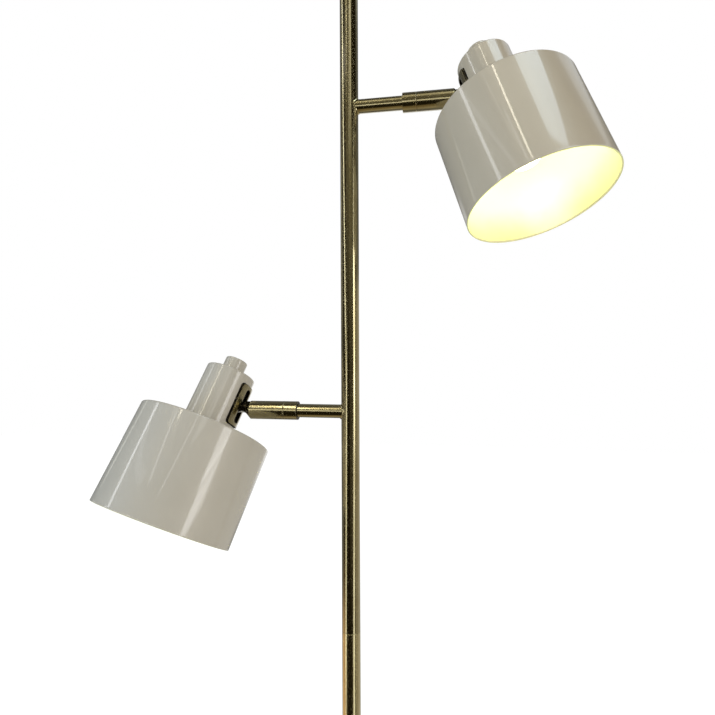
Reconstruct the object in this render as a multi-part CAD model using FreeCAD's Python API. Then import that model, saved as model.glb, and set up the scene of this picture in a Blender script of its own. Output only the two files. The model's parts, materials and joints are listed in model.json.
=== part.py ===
# Tension pole lamp: a brass pole held between floor and ceiling, with two swivelling heads.
#
# The origin is the centre of the foot's underside. Z points up, the upper arm points along +X
# and the lower arm along -X. Lengths are millimetres and angles are degrees.
#
# A head is drawn hanging straight down from an arm that lies on the X axis, and is then
# tilted on its hinge pin, swivelled about the arm and set on the pole at its own height.
import FreeCAD, Part

import math
import os

V = FreeCAD.Vector
ORIGIN = V(0, 0, 0)
UP = V(0, 0, 1)
OUT = V(1, 0, 0)
SIDE = V(0, 1, 0)
NEAR = 0.01

# ---------------------------------------------------------------- driving sizes

# Play and fits
RUN_GAP = 0.05
SEAM_GAP = 0.2

# Pole sections, from the floor up
POLE_R = 9.0
POLE_WALL = 1.0
LOWER_POLE_LENGTH = 908.0
MIDDLE_POLE_LENGTH = 860.0
UPPER_POLE_LENGTH = 450.0
COUPLER_LENGTH = 90.0
COUPLER_WALL = 1.5

# Foot and ceiling ends
PLATE_R = 27.0
PLATE_H = 4.0
HUB_H = 18.0
HUB_LIP = 3.5
HUB_FLARE = 5.0
SPIGOT_LENGTH = 30.0
PAD_UNDER = 4.0
PAD_LIP = 3.0
PAD_LIP_H = 2.5
PAD_EDGE = 1.5
CEILING_HUB_H = 12.0

# Cord gland in the back of the lower section
GLAND_LEVEL = 70.0
GLAND_STEM_R = 4.4
GLAND_FLANGE_R = 7.0
GLAND_STAND = 3.5

# Leads
LEAD_R = 2.2
LEAD_BEND = 5.5
LEAD_GAP = 0.6
THIN_LEAD_R = 1.0
THIN_LEAD_BEND = 8.0
HEAD_LEAD_BEND = 3.0
HEAD_LEAD_END = 4.0
JUNCTION_R = 6.0
JUNCTION_LENGTH = 32.0
JUNCTION_DROP = 30.0

# Telescoping top
EXTENSION_WALL = 1.2
EXTENSION_LENGTH = 370.0
EXTENSION_HELD = 205.0
CLAMP_WALL = 4.0
CLAMP_SOCKET = 14.0
CLAMP_LIP = 14.0
CLAMP_SCREW_R = 2.5
CLAMP_KNOB_R = 7.0
CLAMP_KNOB_LENGTH = 9.0
CLAMP_KNOB_STAND = 1.5

# Sprung plunger
PLUNGER_WALL = 1.4
PLUNGER_LENGTH = 110.0
PLUNGER_SHOWN = 45.0
PLUNGER_TRAVEL = 30.0
STOP_PIN_R = 1.5
STOP_PIN_DEPTH = 20.0
SPRING_LENGTH = 92.0
SPRING_WIRE_R = 0.8
SPRING_TURNS = 12
SPRING_SEAT_H = 8.0

# Arms and the swivel
ARM_R = 6.7
ARM_WALL = 1.2
LOWER_ARM_LEVEL = 1143.0
ARM_SPACING = 300.0
COLLAR_START = 53.1
COLLAR_LENGTH = 13.6
COLLAR_WALL = 2.5
COLLAR_BACK = 1.7
SLEEVE_LENGTH = 35.2
SLEEVE_WALL = 1.4
SLEEVE_FRONT = 4.0
NOSE_LENGTH = 5.6
EDGE_CUT = 0.4
NIPPLE_INSERT = 18.0
NIPPLE_STEP = 0.45
NIPPLE_WALL = 1.8
NIPPLE_PAST_BUSH = 5.6
BUSH_LENGTH = 7.0
SWIVEL_WASHER_T = 0.6
SWIVEL_NUT_T = 3.6
SWIVEL_NUT_GAP = 0.6

# Hinge between knuckle and head
PIN_REACH = 121.4
PIN_RISE = 2.5
PIN_TO_AXIS = 19.3
PIN_R = 2.5
PIN_HEAD_R = 3.4
PIN_HEAD_T = 1.3
TONGUE_T = 7.0
TONGUE_H = 11.0
TONGUE_ROOT_T = 3.5
TONGUE_GROOVE_DEPTH = 2.1
HINGE_WASHER_T = 0.5
LUG_T = 2.3
LUG_R = 6.3

# Head housing with its slotted plate
HOUSING_R = 26.0
HOUSING_WALL = 1.0
HOUSING_H = 61.7
HOUSING_EDGE = 1.2
HOUSING_LIP_T = 1.0
SHADE_DROP = 28.3
SLOT_PLATE_W = 24.0
SLOT_PLATE_H = 43.3
SLOT_PLATE_RISE = 2.8
SLOT_PLATE_PROUD = 1.8
SLOT_PLATE_CORNER = 3.0
SLOT_PLATE_GAP = 0.6
SLOT_H = 35.0
SLOT_CORNER = 3.0
RIM_OVERLAP = 3.0
RIM_INSET = 1.5
RIM_T = 1.5

# Shade
SHADE_TOP_R = 67.3
SHADE_RIM_R = 68.0
SHADE_H = 99.7
SHADE_WALL = 1.0
SHADE_EDGE = 1.6

# Lampholder and lamp
HOLDER_R = 19.8
HOLDER_CAP_R = 16.5
HOLDER_BELOW_SHADE = 22.0
HOLDER_UNDER_LUGS = 1.9
HOLDER_ROOF = 6.0
HOLDER_FLANGE_T = 2.0
HOLDER_FLANGE_GAP = 1.5
HOLE_GAP = 0.5
CONTACT_SHELL_T = 0.6
CONTACT_SHELL_LENGTH = 20.0
CONTACT_DISC_R = 4.5
CONTACT_DISC_T = 1.5
RING_FLANGE_W = 7.0
RING_FLANGE_T = 2.0
RING_HUB_W = 3.2
RING_H = 6.0
LAMP_CAP_R = 13.1
LAMP_CAP_LENGTH = 26.0
LAMP_THREADS = 5
LAMP_THREAD_DEPTH = 0.7
LAMP_NECK_R = 12.4
LAMP_BALL_R = 22.5
LAMP_LENGTH = 75.0
LAMP_GLASS_T = 0.8

# Rotary switch on top of the housing
SWITCH_R = 11.0
SWITCH_H = 15.0
SWITCH_BUSH_R = 5.0
SWITCH_BUSH_RISE = 3.4
SWITCH_NUT_R = 7.5
SWITCH_NUT_T = 2.0
SPINDLE_R = 3.0
SPINDLE_DEPTH = 10.0
KNOB_R = 11.7
KNOB_H = 15.1
KNOB_GAP = 0.3
KNOB_EDGE = 1.2
KNOB_SKIRT_T = 2.2

# Rest pose of each head: swivel about its own arm, then tilt away from the pole
UPPER_SWIVEL = -16.2
UPPER_TILT = 17.0
LOWER_SWIVEL = 25.6
LOWER_TILT = 15.0

# ---------------------------------------------------------------- sizes that follow

POLE_BORE = POLE_R - POLE_WALL
POLE_FOOT = PAD_UNDER + HUB_H
LOWER_SEAM = POLE_FOOT + LOWER_POLE_LENGTH
UPPER_SEAM = LOWER_SEAM + MIDDLE_POLE_LENGTH
POLE_TOP = UPPER_SEAM + UPPER_POLE_LENGTH
UPPER_ARM_LEVEL = LOWER_ARM_LEVEL + ARM_SPACING

EXTENSION_R = POLE_BORE - RUN_GAP
EXTENSION_BORE = EXTENSION_R - EXTENSION_WALL
EXTENSION_FOOT = POLE_TOP - EXTENSION_HELD
EXTENSION_TOP = EXTENSION_FOOT + EXTENSION_LENGTH
PLUNGER_R = EXTENSION_BORE - RUN_GAP
PLUNGER_BORE = PLUNGER_R - PLUNGER_WALL
PLUNGER_TOP = EXTENSION_TOP + PLUNGER_SHOWN
PLUNGER_FOOT = PLUNGER_TOP - PLUNGER_LENGTH
SPRING_SEAT_TOP = PLUNGER_FOOT - SPRING_LENGTH

ARM_BORE = ARM_R - ARM_WALL
ARM_END = COLLAR_START + COLLAR_LENGTH - COLLAR_BACK
COLLAR_END = COLLAR_START + COLLAR_LENGTH
SLEEVE_R = ARM_R + COLLAR_WALL
SLEEVE_BORE = SLEEVE_R - SLEEVE_WALL
SLEEVE_START = COLLAR_END + SEAM_GAP
SLEEVE_END = SLEEVE_START + SLEEVE_LENGTH
SLEEVE_FLOOR = SLEEVE_END - SLEEVE_FRONT
NOSE_END = SLEEVE_END + NOSE_LENGTH
BUSH_END = SLEEVE_START + BUSH_LENGTH
NIPPLE_ROOT_R = ARM_BORE - RUN_GAP
NIPPLE_R = NIPPLE_ROOT_R - NIPPLE_STEP
NIPPLE_BORE = NIPPLE_R - NIPPLE_WALL
NIPPLE_END = BUSH_END + NIPPLE_PAST_BUSH

HOUSING_BORE = HOUSING_R - HOUSING_WALL
HOUSING_TOP = HOUSING_H - SHADE_DROP
SHADE_HOLE_R = HOLDER_R + HOLE_GAP
EYE_R = TONGUE_H / 2
HOLDER_TOP = -LUG_R - HOLDER_UNDER_LUGS
SLOT_W = TONGUE_T + 2 * HINGE_WASHER_T
LUG_OUTSIDE = SLOT_W / 2 + LUG_T
LAMP_TOP = HOLDER_TOP - HOLDER_ROOF - CONTACT_DISC_T


# ---------------------------------------------------------------- drawing helpers

def bar(radius, length, start=ORIGIN, axis=UP):
    """A round bar that starts at a point and runs along an axis."""
    return Part.makeCylinder(radius, length, start, axis)


def pipe(outer, inner, length, start=ORIGIN, axis=UP):
    """A round pipe that starts at a point and runs along an axis."""
    return bar(outer, length, start, axis).cut(bar(inner, length, start, axis))


def turned(points):
    """A piece turned about the Z axis from (radius, height) points."""
    corners = [V(radius, 0, height) for radius, height in points]
    outline = Part.makePolygon(corners + corners[:1])
    return Part.Face(outline).revolve(ORIGIN, UP, 360)


def turned_on_arm(points):
    """A piece turned about the arm's axis from (distance from the pole, radius) points."""
    corners = [V(distance, 0, radius) for distance, radius in points]
    outline = Part.makePolygon(corners + corners[:1])
    return Part.Face(outline).revolve(ORIGIN, OUT, 360)


def softened(shape, radius, level):
    """The same shape with its edges at one height rounded."""
    edges = []
    for edge in shape.Edges:
        if abs(edge.BoundBox.ZMin - level) < NEAR and abs(edge.BoundBox.ZMax - level) < NEAR:
            edges.append(edge)
    return shape.makeFillet(radius, edges)


def rounded_slab(width, height, corner, level, start, end):
    """A slab across the arm, from x = start to x = end, with its four long edges rounded."""
    slab = Part.makeBox(end - start, width, height, V(start, -width / 2, level - height / 2))
    long_edges = [edge for edge in slab.Edges if edge.BoundBox.XLength > end - start - NEAR]
    return slab.makeFillet(corner, long_edges)


def hexagon(corner_radius, length, start, axis):
    """A hexagonal bar that starts at a point and runs along an axis."""
    across = axis.cross(UP)
    corners = []
    for step in range(6):
        turn = FreeCAD.Rotation(axis, 60 * step)
        corners.append(start + turn.multVec(across * corner_radius))
    return Part.Face(Part.makePolygon(corners + corners[:1])).extrude(axis * length)


def routed(points, radius, bend):
    """A lead along straight runs that are joined by tangent arcs of one bend radius."""
    edges = []
    begin = points[0]
    for before, corner, after in zip(points, points[1:], points[2:]):
        arriving = (corner - before).normalize()
        leaving = (after - corner).normalize()
        half_turn = arriving.getAngle(leaving) / 2
        setback = bend * math.tan(half_turn)
        arc_start = corner - arriving * setback
        arc_end = corner + leaving * setback
        inward = (leaving - arriving).normalize()
        arc_middle = corner + inward * (bend / math.cos(half_turn) - bend)
        edges.append(Part.LineSegment(begin, arc_start).toShape())
        edges.append(Part.Arc(arc_start, arc_middle, arc_end).toShape())
        begin = arc_end
    edges.append(Part.LineSegment(begin, points[-1]).toShape())
    section = Part.Wire(Part.makeCircle(radius, points[0], points[1] - points[0]))
    return Part.Wire(edges).makePipeShell([section], True, False)


def arc_from_tangent(start, end, corner):
    """The round arc from start to end whose end tangents meet at corner."""
    middle = (start + end) * 0.5
    half_chord = (end - start).Length / 2
    to_corner = corner - middle
    slope = math.atan(to_corner.Length / half_chord)
    top = middle + to_corner.normalize() * (half_chord * math.tan(slope / 2))
    return Part.Arc(start, top, end).toShape()


def coil(radius, wire_radius, foot, length, turns):
    """A compression spring: one wire wound up about Z on pairs of arcs, four to the half turn."""
    steps = turns * 4
    rise = (length - 2 * wire_radius) / steps
    step_angle = 2 * math.pi / 4
    edges = []
    for step in range(steps):
        ends = []
        for count in (step, step + 1):
            angle = step_angle * count
            point = V(radius * math.cos(angle), radius * math.sin(angle),
                      foot + wire_radius + rise * count)
            heading = V(-radius * math.sin(angle), radius * math.cos(angle), rise / step_angle)
            ends.append((point, heading.normalize()))
        (start, start_heading), (end, end_heading) = ends
        chord = end - start
        sweep = 2 * (1 - start_heading.dot(end_heading))
        along = chord.dot(start_heading + end_heading)
        reach = (math.sqrt(along ** 2 + sweep * chord.dot(chord)) - along) / sweep
        first_corner = start + start_heading * reach
        second_corner = end - end_heading * reach
        meeting = (first_corner + second_corner) * 0.5
        edges.append(arc_from_tangent(start, meeting, first_corner))
        edges.append(arc_from_tangent(meeting, end, second_corner))
    path = Part.Wire(edges)
    first = edges[0]
    section = Part.Wire(Part.makeCircle(wire_radius, first.valueAt(first.FirstParameter),
                                        first.tangentAt(first.FirstParameter)))
    return path.makePipeShell([section], True, False)


def save(name, *solids):
    """Write one named piece, or one group of like pieces, as a file of its own."""
    shape = solids[0] if len(solids) == 1 else Part.makeCompound(list(solids))
    if not shape.isValid() or len(shape.Solids) != len(solids):
        raise ValueError("%s is not %d sound solids" % (name, len(solids)))
    shape.exportStep("parts/%s.step" % name)


# ---------------------------------------------------------------- pole

def end_plate(tube_radius, tube_bore, hub_height):
    """The turned brass end of a tube: flange, flared hub, and a spigot in the tube's bore."""
    hub_radius = tube_radius + HUB_LIP
    spigot_radius = tube_bore - RUN_GAP
    return turned([(0, 0), (PLATE_R, 0), (PLATE_R, PLATE_H),
                   (hub_radius + HUB_FLARE, PLATE_H), (hub_radius, PLATE_H + HUB_FLARE),
                   (hub_radius, hub_height), (spigot_radius, hub_height),
                   (spigot_radius, hub_height + SPIGOT_LENGTH), (0, hub_height + SPIGOT_LENGTH)])


def end_pad():
    """The rubber pad whose lip holds it round the flange of an end plate."""
    height = PAD_UNDER + PAD_LIP_H
    disc = softened(bar(PLATE_R + PAD_LIP, height), PAD_EDGE, height)
    return disc.cut(bar(PLATE_R, height, V(0, 0, PAD_UNDER)))


def coupler(seam):
    """The pipe inside the bores of two pole sections that meet at a seam."""
    radius = POLE_BORE - RUN_GAP
    return pipe(radius, radius - COUPLER_WALL, COUPLER_LENGTH, V(0, 0, seam - COUPLER_LENGTH / 2))


def lower_pole():
    """The bottom section, with the hole for the cord gland in its back."""
    section = pipe(POLE_R, POLE_BORE, LOWER_POLE_LENGTH, V(0, 0, POLE_FOOT))
    return section.cut(bar(GLAND_STEM_R, POLE_R, V(0, 0, GLAND_LEVEL), SIDE))


def middle_pole():
    """The section that carries both arms, with a hole behind each arm for its lead."""
    section = pipe(POLE_R, POLE_BORE, MIDDLE_POLE_LENGTH, V(0, 0, LOWER_SEAM))
    section = section.cut(bar(ARM_BORE, POLE_R, V(0, 0, UPPER_ARM_LEVEL), OUT))
    return section.cut(bar(ARM_BORE, POLE_R, V(0, 0, LOWER_ARM_LEVEL), -OUT))


def cord_gland():
    """The black bush that leads the cord into the pole, shaped to the pole's round back."""
    mouth = POLE_R + GLAND_STAND
    flange = bar(GLAND_FLANGE_R, mouth, V(0, 0, GLAND_LEVEL), SIDE)
    flange = flange.cut(bar(POLE_R, 4 * GLAND_FLANGE_R, V(0, 0, GLAND_LEVEL - 2 * GLAND_FLANGE_R)))
    stem_start = V(0, LEAD_R + POLE_WALL, GLAND_LEVEL)
    stem = bar(GLAND_STEM_R, mouth - stem_start.y, stem_start, SIDE)
    bore = bar(LEAD_R + RUN_GAP, mouth, V(0, 0, GLAND_LEVEL), SIDE)
    inside = bar(POLE_BORE - 2 * POLE_WALL, 4 * GLAND_FLANGE_R,
                 V(0, 0, GLAND_LEVEL - 2 * GLAND_FLANGE_R))
    return flange.fuse(stem).cut(bore).cut(inside).removeSplitter()


def clamp_collar():
    """The collar on the pole's top end, with a lip round the extension and a tapped hole."""
    outside = POLE_R + CLAMP_WALL
    foot = POLE_TOP - CLAMP_SOCKET
    collar = turned([(POLE_R, foot), (outside - EDGE_CUT, foot), (outside, foot + EDGE_CUT),
                     (outside, POLE_TOP + CLAMP_LIP - EDGE_CUT),
                     (outside - EDGE_CUT, POLE_TOP + CLAMP_LIP),
                     (POLE_BORE, POLE_TOP + CLAMP_LIP), (POLE_BORE, POLE_TOP), (POLE_R, POLE_TOP)])
    return collar.cut(bar(CLAMP_SCREW_R + RUN_GAP, 2 * outside,
                          V(0, 0, POLE_TOP + CLAMP_LIP / 2), OUT))


def clamp_screw():
    """The thumbscrew that grips the extension, with its round head outside the collar."""
    level = POLE_TOP + CLAMP_LIP / 2
    head_start = POLE_R + CLAMP_WALL + CLAMP_KNOB_STAND
    shank = bar(CLAMP_SCREW_R, head_start - EXTENSION_R - RUN_GAP,
                V(EXTENSION_R + RUN_GAP, 0, level), OUT)
    head = turned_on_arm([(head_start, 0), (head_start, CLAMP_KNOB_R - EDGE_CUT),
                          (head_start + EDGE_CUT, CLAMP_KNOB_R),
                          (head_start + CLAMP_KNOB_LENGTH - EDGE_CUT, CLAMP_KNOB_R),
                          (head_start + CLAMP_KNOB_LENGTH, CLAMP_KNOB_R - EDGE_CUT),
                          (head_start + CLAMP_KNOB_LENGTH, 0)])
    return shank.fuse(head.translated(V(0, 0, level)))


def extension_tube():
    """The inner tube of the telescoping top, drilled across for the plunger's stop pin."""
    tube = pipe(EXTENSION_R, EXTENSION_BORE, EXTENSION_LENGTH, V(0, 0, EXTENSION_FOOT))
    return tube.cut(stop_pin())


def stop_pin():
    """The cross pin that runs in the plunger's slot and stops its travel."""
    pin = bar(STOP_PIN_R, 2 * EXTENSION_R, V(0, -EXTENSION_R, EXTENSION_TOP - STOP_PIN_DEPTH), SIDE)
    return pin.common(bar(EXTENSION_R, EXTENSION_LENGTH, V(0, 0, EXTENSION_FOOT)))


def plunger_tube():
    """The sprung tube under the ceiling plate, with the slot that the stop pin runs in."""
    tube = pipe(PLUNGER_R, PLUNGER_BORE, PLUNGER_LENGTH, V(0, 0, PLUNGER_FOOT))
    half_width = STOP_PIN_R + 2 * RUN_GAP
    foot = EXTENSION_TOP - STOP_PIN_DEPTH
    bottom = bar(half_width, 2 * PLUNGER_R, V(0, -PLUNGER_R, foot), SIDE)
    top = bottom.translated(V(0, 0, PLUNGER_TRAVEL))
    middle = Part.makeBox(2 * half_width, 2 * PLUNGER_R, PLUNGER_TRAVEL,
                          V(-half_width, -PLUNGER_R, foot))
    return tube.cut(bottom.fuse(top).fuse(middle))


def spring_seat():
    """The plug in the extension that the spring stands on."""
    return bar(EXTENSION_BORE, SPRING_SEAT_H, V(0, 0, SPRING_SEAT_TOP - SPRING_SEAT_H))


def tension_spring():
    """The spring between its seat and the plunger's lower end."""
    radius = PLUNGER_R - PLUNGER_WALL / 2 - RUN_GAP
    return coil(radius, SPRING_WIRE_R, SPRING_SEAT_TOP, SPRING_LENGTH, SPRING_TURNS)


# ---------------------------------------------------------------- arm and swivel

def arm():
    """The arm tube, its root cut to the pole's round side."""
    tube = pipe(ARM_R, ARM_BORE, ARM_END, ORIGIN, OUT)
    return tube.cut(bar(POLE_R, 4 * ARM_R, V(0, 0, -2 * ARM_R)))


def collar():
    """The fixed collar on the arm's end, with a back wall that the nipple passes through."""
    return turned_on_arm([(COLLAR_START, ARM_R), (COLLAR_START, SLEEVE_R - EDGE_CUT),
                          (COLLAR_START + EDGE_CUT, SLEEVE_R), (COLLAR_END, SLEEVE_R),
                          (COLLAR_END, NIPPLE_ROOT_R), (ARM_END, NIPPLE_ROOT_R),
                          (ARM_END, ARM_R)])


def swivel_nipple():
    """The hollow nipple from the arm's bore through the collar, which the sleeve turns on."""
    return turned_on_arm([(ARM_END - NIPPLE_INSERT, NIPPLE_BORE),
                          (ARM_END - NIPPLE_INSERT, NIPPLE_ROOT_R), (COLLAR_END, NIPPLE_ROOT_R),
                          (COLLAR_END, NIPPLE_R), (NIPPLE_END, NIPPLE_R),
                          (NIPPLE_END, NIPPLE_BORE)])


def swivel_nut():
    """The nut on the nipple's end that keeps the sleeve's bush on it."""
    start = BUSH_END + SWIVEL_WASHER_T
    nut = hexagon(SLEEVE_BORE - SWIVEL_NUT_GAP, SWIVEL_NUT_T, V(start, 0, 0), OUT)
    return nut.cut(bar(NIPPLE_R, SWIVEL_NUT_T, V(start, 0, 0), OUT))


def swivel_bush():
    """The bush in the sleeve's mouth that turns on the nipple."""
    return pipe(SLEEVE_BORE, NIPPLE_R + RUN_GAP, BUSH_LENGTH, V(SLEEVE_START, 0, 0), OUT)


def tongue_bar(start, end):
    """The tongue's straight bar from one distance along the arm to another."""
    return Part.makeBox(end - start, TONGUE_T, TONGUE_H,
                        V(start, -TONGUE_T / 2, PIN_RISE - TONGUE_H / 2))


def sleeve():
    """The turning sleeve: bored from behind, with a conical nose notched for the tongue."""
    nose_radius = max(SLEEVE_R - NOSE_LENGTH, EDGE_CUT)
    body = turned_on_arm([(SLEEVE_START, SLEEVE_BORE), (SLEEVE_START, SLEEVE_R),
                          (SLEEVE_END, SLEEVE_R), (NOSE_END, nose_radius), (NOSE_END, 0),
                          (SLEEVE_FLOOR, 0), (SLEEVE_FLOOR, SLEEVE_BORE)])
    return body.cut(tongue_bar(SLEEVE_FLOOR, NOSE_END))


def tongue():
    """The dark tongue: a round root in the sleeve, a bar through its nose, and the hinge eye."""
    pin_place = V(PIN_REACH, 0, PIN_RISE)
    eye = bar(EYE_R, TONGUE_T, pin_place - SIDE * (TONGUE_T / 2), SIDE)
    root = bar(SLEEVE_BORE - RUN_GAP, TONGUE_ROOT_T, V(SLEEVE_FLOOR - TONGUE_ROOT_T, 0, 0), OUT)
    body = tongue_bar(SLEEVE_FLOOR, PIN_REACH).fuse([eye, root]).removeSplitter()
    body = body.cut(bar(PIN_R + RUN_GAP, TONGUE_T, pin_place - SIDE * (TONGUE_T / 2), SIDE))
    groove_width = 2 * (THIN_LEAD_R + RUN_GAP)
    underside = PIN_RISE - TONGUE_H / 2
    start = SLEEVE_FLOOR - TONGUE_ROOT_T
    groove = Part.makeBox(PIN_REACH + EYE_R - start, groove_width, TONGUE_GROOVE_DEPTH,
                          V(start, -groove_width / 2, underside))
    return body.cut(groove)


def knuckle_lead():
    """The thin lead from the nipple through the sleeve, along the tongue's underside."""
    level = PIN_RISE - TONGUE_H / 2 + THIN_LEAD_R
    begin = NIPPLE_END + LEAD_GAP
    root = SLEEVE_FLOOR - TONGUE_ROOT_T
    third = (root - begin) / 3
    points = [V(begin, 0, 0), V(begin + third, 0, 0), V(root - third, 0, level),
              V(PIN_REACH + EYE_R, 0, level)]
    return routed(points, THIN_LEAD_R, THIN_LEAD_BEND)


# ---------------------------------------------------------------- head

# The pieces from here to the knob are drawn about the head's own upright axis, with the
# hinge pin's height as zero and the arm on the -X side.

def plate_outline(extra, corner, start, end):
    """A rounded slab over the slotted plate's outline, grown by extra on every side."""
    return rounded_slab(SLOT_PLATE_W + 2 * extra, SLOT_PLATE_H + 2 * extra, corner,
                        SLOT_PLATE_RISE, start, end)


def housing():
    """The round housing: closed on top, lipped at the bottom, with a window for the plate."""
    outside = softened(bar(HOUSING_R, HOUSING_H, V(0, 0, -SHADE_DROP)), HOUSING_EDGE, HOUSING_TOP)
    inside_height = HOUSING_H - HOUSING_LIP_T - HOUSING_WALL
    inside = bar(HOUSING_BORE, inside_height, V(0, 0, HOUSING_LIP_T - SHADE_DROP))
    shell = outside.cut(inside)
    shell = shell.cut(bar(SHADE_HOLE_R, HOUSING_LIP_T, V(0, 0, -SHADE_DROP)))
    shell = shell.cut(bar(SWITCH_BUSH_R, HOUSING_WALL, V(0, 0, HOUSING_TOP - HOUSING_WALL)))
    window = plate_outline(SLOT_PLATE_GAP, SLOT_PLATE_CORNER + SLOT_PLATE_GAP, -2 * HOUSING_R, 0)
    return shell.cut(window)


def bracket():
    """The slotted plate with a rim behind the housing's wall and two lugs for the hinge pin."""
    face = HOUSING_R + SLOT_PLATE_PROUD
    back = HOUSING_BORE - RUN_GAP
    foot = V(0, 0, SLOT_PLATE_RISE - SLOT_PLATE_H)
    plate = pipe(face, back, 2 * SLOT_PLATE_H, foot)
    plate = plate.common(plate_outline(0, SLOT_PLATE_CORNER, -2 * HOUSING_R, 0))
    rim = pipe(back, back - RIM_T, 2 * SLOT_PLATE_H, foot)
    rim = rim.common(plate_outline(RIM_OVERLAP, SLOT_PLATE_CORNER, -2 * HOUSING_R, 0))
    rim = rim.cut(plate_outline(-RIM_INSET, SLOT_PLATE_CORNER - RIM_INSET, -2 * HOUSING_R, 0))
    pin_x = -PIN_TO_AXIS
    lug_start = V(pin_x, -LUG_OUTSIDE, 0)
    lugs = bar(LUG_R, 2 * LUG_OUTSIDE, lug_start, SIDE)
    web = Part.makeBox(face - PIN_TO_AXIS, 2 * LUG_OUTSIDE, 2 * LUG_R, V(-face, -LUG_OUTSIDE, -LUG_R))
    lugs = lugs.fuse(web.common(bar(back + HOUSING_WALL, 2 * SLOT_PLATE_H, foot)))
    body = plate.fuse([rim, lugs]).removeSplitter()
    slot = rounded_slab(SLOT_W, SLOT_H, SLOT_CORNER, SLOT_PLATE_RISE, -2 * HOUSING_R, 0)
    return body.cut(slot).cut(bar(PIN_R, 2 * LUG_OUTSIDE, lug_start, SIDE))


def hinge_pin():
    """The shouldered hinge pin, riveted over at both ends."""
    start = V(-PIN_TO_AXIS, -LUG_OUTSIDE - PIN_HEAD_T, 0)
    end = V(-PIN_TO_AXIS, LUG_OUTSIDE, 0)
    shank = bar(PIN_R, 2 * LUG_OUTSIDE, start + SIDE * PIN_HEAD_T, SIDE)
    return shank.fuse([bar(PIN_HEAD_R, PIN_HEAD_T, start, SIDE),
                       bar(PIN_HEAD_R, PIN_HEAD_T, end, SIDE)]).removeSplitter()


def hinge_washer(side):
    """One of the friction washers between the tongue and a lug."""
    place = TONGUE_T / 2 if side > 0 else -SLOT_W / 2
    return pipe(EYE_R, PIN_R, HINGE_WASHER_T, V(-PIN_TO_AXIS, place, 0), SIDE)


def shade():
    """The spun metal shade: a nearly straight drum, closed on top but for the holder's hole."""
    rim_level = -SHADE_DROP - SHADE_H
    outside = Part.makeCone(SHADE_RIM_R, SHADE_TOP_R, SHADE_H, V(0, 0, rim_level))
    outside = softened(outside, SHADE_EDGE, -SHADE_DROP)
    inside = Part.makeCone(SHADE_RIM_R - SHADE_WALL, SHADE_TOP_R - SHADE_WALL,
                           SHADE_H - SHADE_WALL, V(0, 0, rim_level))
    inside = softened(inside, max(SHADE_EDGE - SHADE_WALL, NEAR * 2), -SHADE_DROP - SHADE_WALL)
    return outside.cut(inside).cut(bar(SHADE_HOLE_R, SHADE_H, V(0, 0, -SHADE_DROP - SHADE_H / 2)))


def lampholder():
    """The ceramic holder: its flange rests on the housing's lip, its skirt passes the shade."""
    rest = HOUSING_LIP_T - SHADE_DROP
    foot = -SHADE_DROP - HOLDER_BELOW_SHADE
    flange_radius = HOUSING_BORE - HOLDER_FLANGE_GAP
    bore = LAMP_CAP_R + RUN_GAP + CONTACT_SHELL_T
    roof = HOLDER_TOP - HOLDER_ROOF
    return turned([(0, HOLDER_TOP), (HOLDER_CAP_R - HOLDER_FLANGE_T, HOLDER_TOP),
                   (HOLDER_CAP_R, HOLDER_TOP - HOLDER_FLANGE_T),
                   (HOLDER_CAP_R, rest + HOLDER_FLANGE_T),
                   (flange_radius, rest + HOLDER_FLANGE_T), (flange_radius, rest),
                   (HOLDER_R, rest), (HOLDER_R, foot), (bore, foot), (bore, roof), (0, roof)])


def holder_contacts():
    """The holder's thin screw shell and its centre contact."""
    roof = HOLDER_TOP - HOLDER_ROOF
    inner = LAMP_CAP_R + RUN_GAP
    shell_top = roof - CONTACT_DISC_T
    shell = pipe(inner + CONTACT_SHELL_T, inner, CONTACT_SHELL_LENGTH,
                 V(0, 0, shell_top - CONTACT_SHELL_LENGTH))
    disc = bar(CONTACT_DISC_R, CONTACT_DISC_T, V(0, 0, roof - CONTACT_DISC_T))
    return shell, disc


def shade_ring():
    """The ring on the holder's skirt that clamps the shade against the housing."""
    top = -SHADE_DROP - SHADE_WALL
    inner = HOLDER_R
    return turned([(inner, top), (inner + RING_FLANGE_W, top),
                   (inner + RING_FLANGE_W, top - RING_FLANGE_T),
                   (inner + RING_HUB_W, top - RING_FLANGE_T),
                   (inner + RING_HUB_W, top - RING_H), (inner, top - RING_H)])


def lamp_cap():
    """The lamp's screw cap, with its thread as rounded steps and a tapering top."""
    contact_radius = CONTACT_DISC_R
    shoulder = LAMP_TOP - LAMP_CAP_R / 2
    foot = LAMP_TOP - LAMP_CAP_LENGTH
    pitch = (shoulder - foot) / (LAMP_THREADS + 1)
    root_radius = LAMP_CAP_R - LAMP_THREAD_DEPTH
    points = [(0, LAMP_TOP), (contact_radius, LAMP_TOP), (root_radius, shoulder)]
    for thread in range(LAMP_THREADS):
        crest = shoulder - pitch * (thread + 0.5)
        points.append((LAMP_CAP_R, crest))
        points.append((root_radius, crest - pitch / 2))
    return turned(points + [(root_radius, foot), (0, foot)])


def lamp_glass():
    """The opal glass of the lamp: a ball on a short neck, hollow inside."""
    foot = LAMP_TOP - LAMP_CAP_LENGTH
    centre = V(0, 0, LAMP_TOP - LAMP_LENGTH + LAMP_BALL_R)
    neck_foot = V(0, 0, centre.z)
    solids = []
    for inset in (0, LAMP_GLASS_T):
        neck = bar(LAMP_NECK_R - inset, foot - centre.z, neck_foot)
        solids.append(neck.fuse(Part.makeSphere(LAMP_BALL_R - inset, centre)).removeSplitter())
    return solids[0].cut(solids[1])


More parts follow.
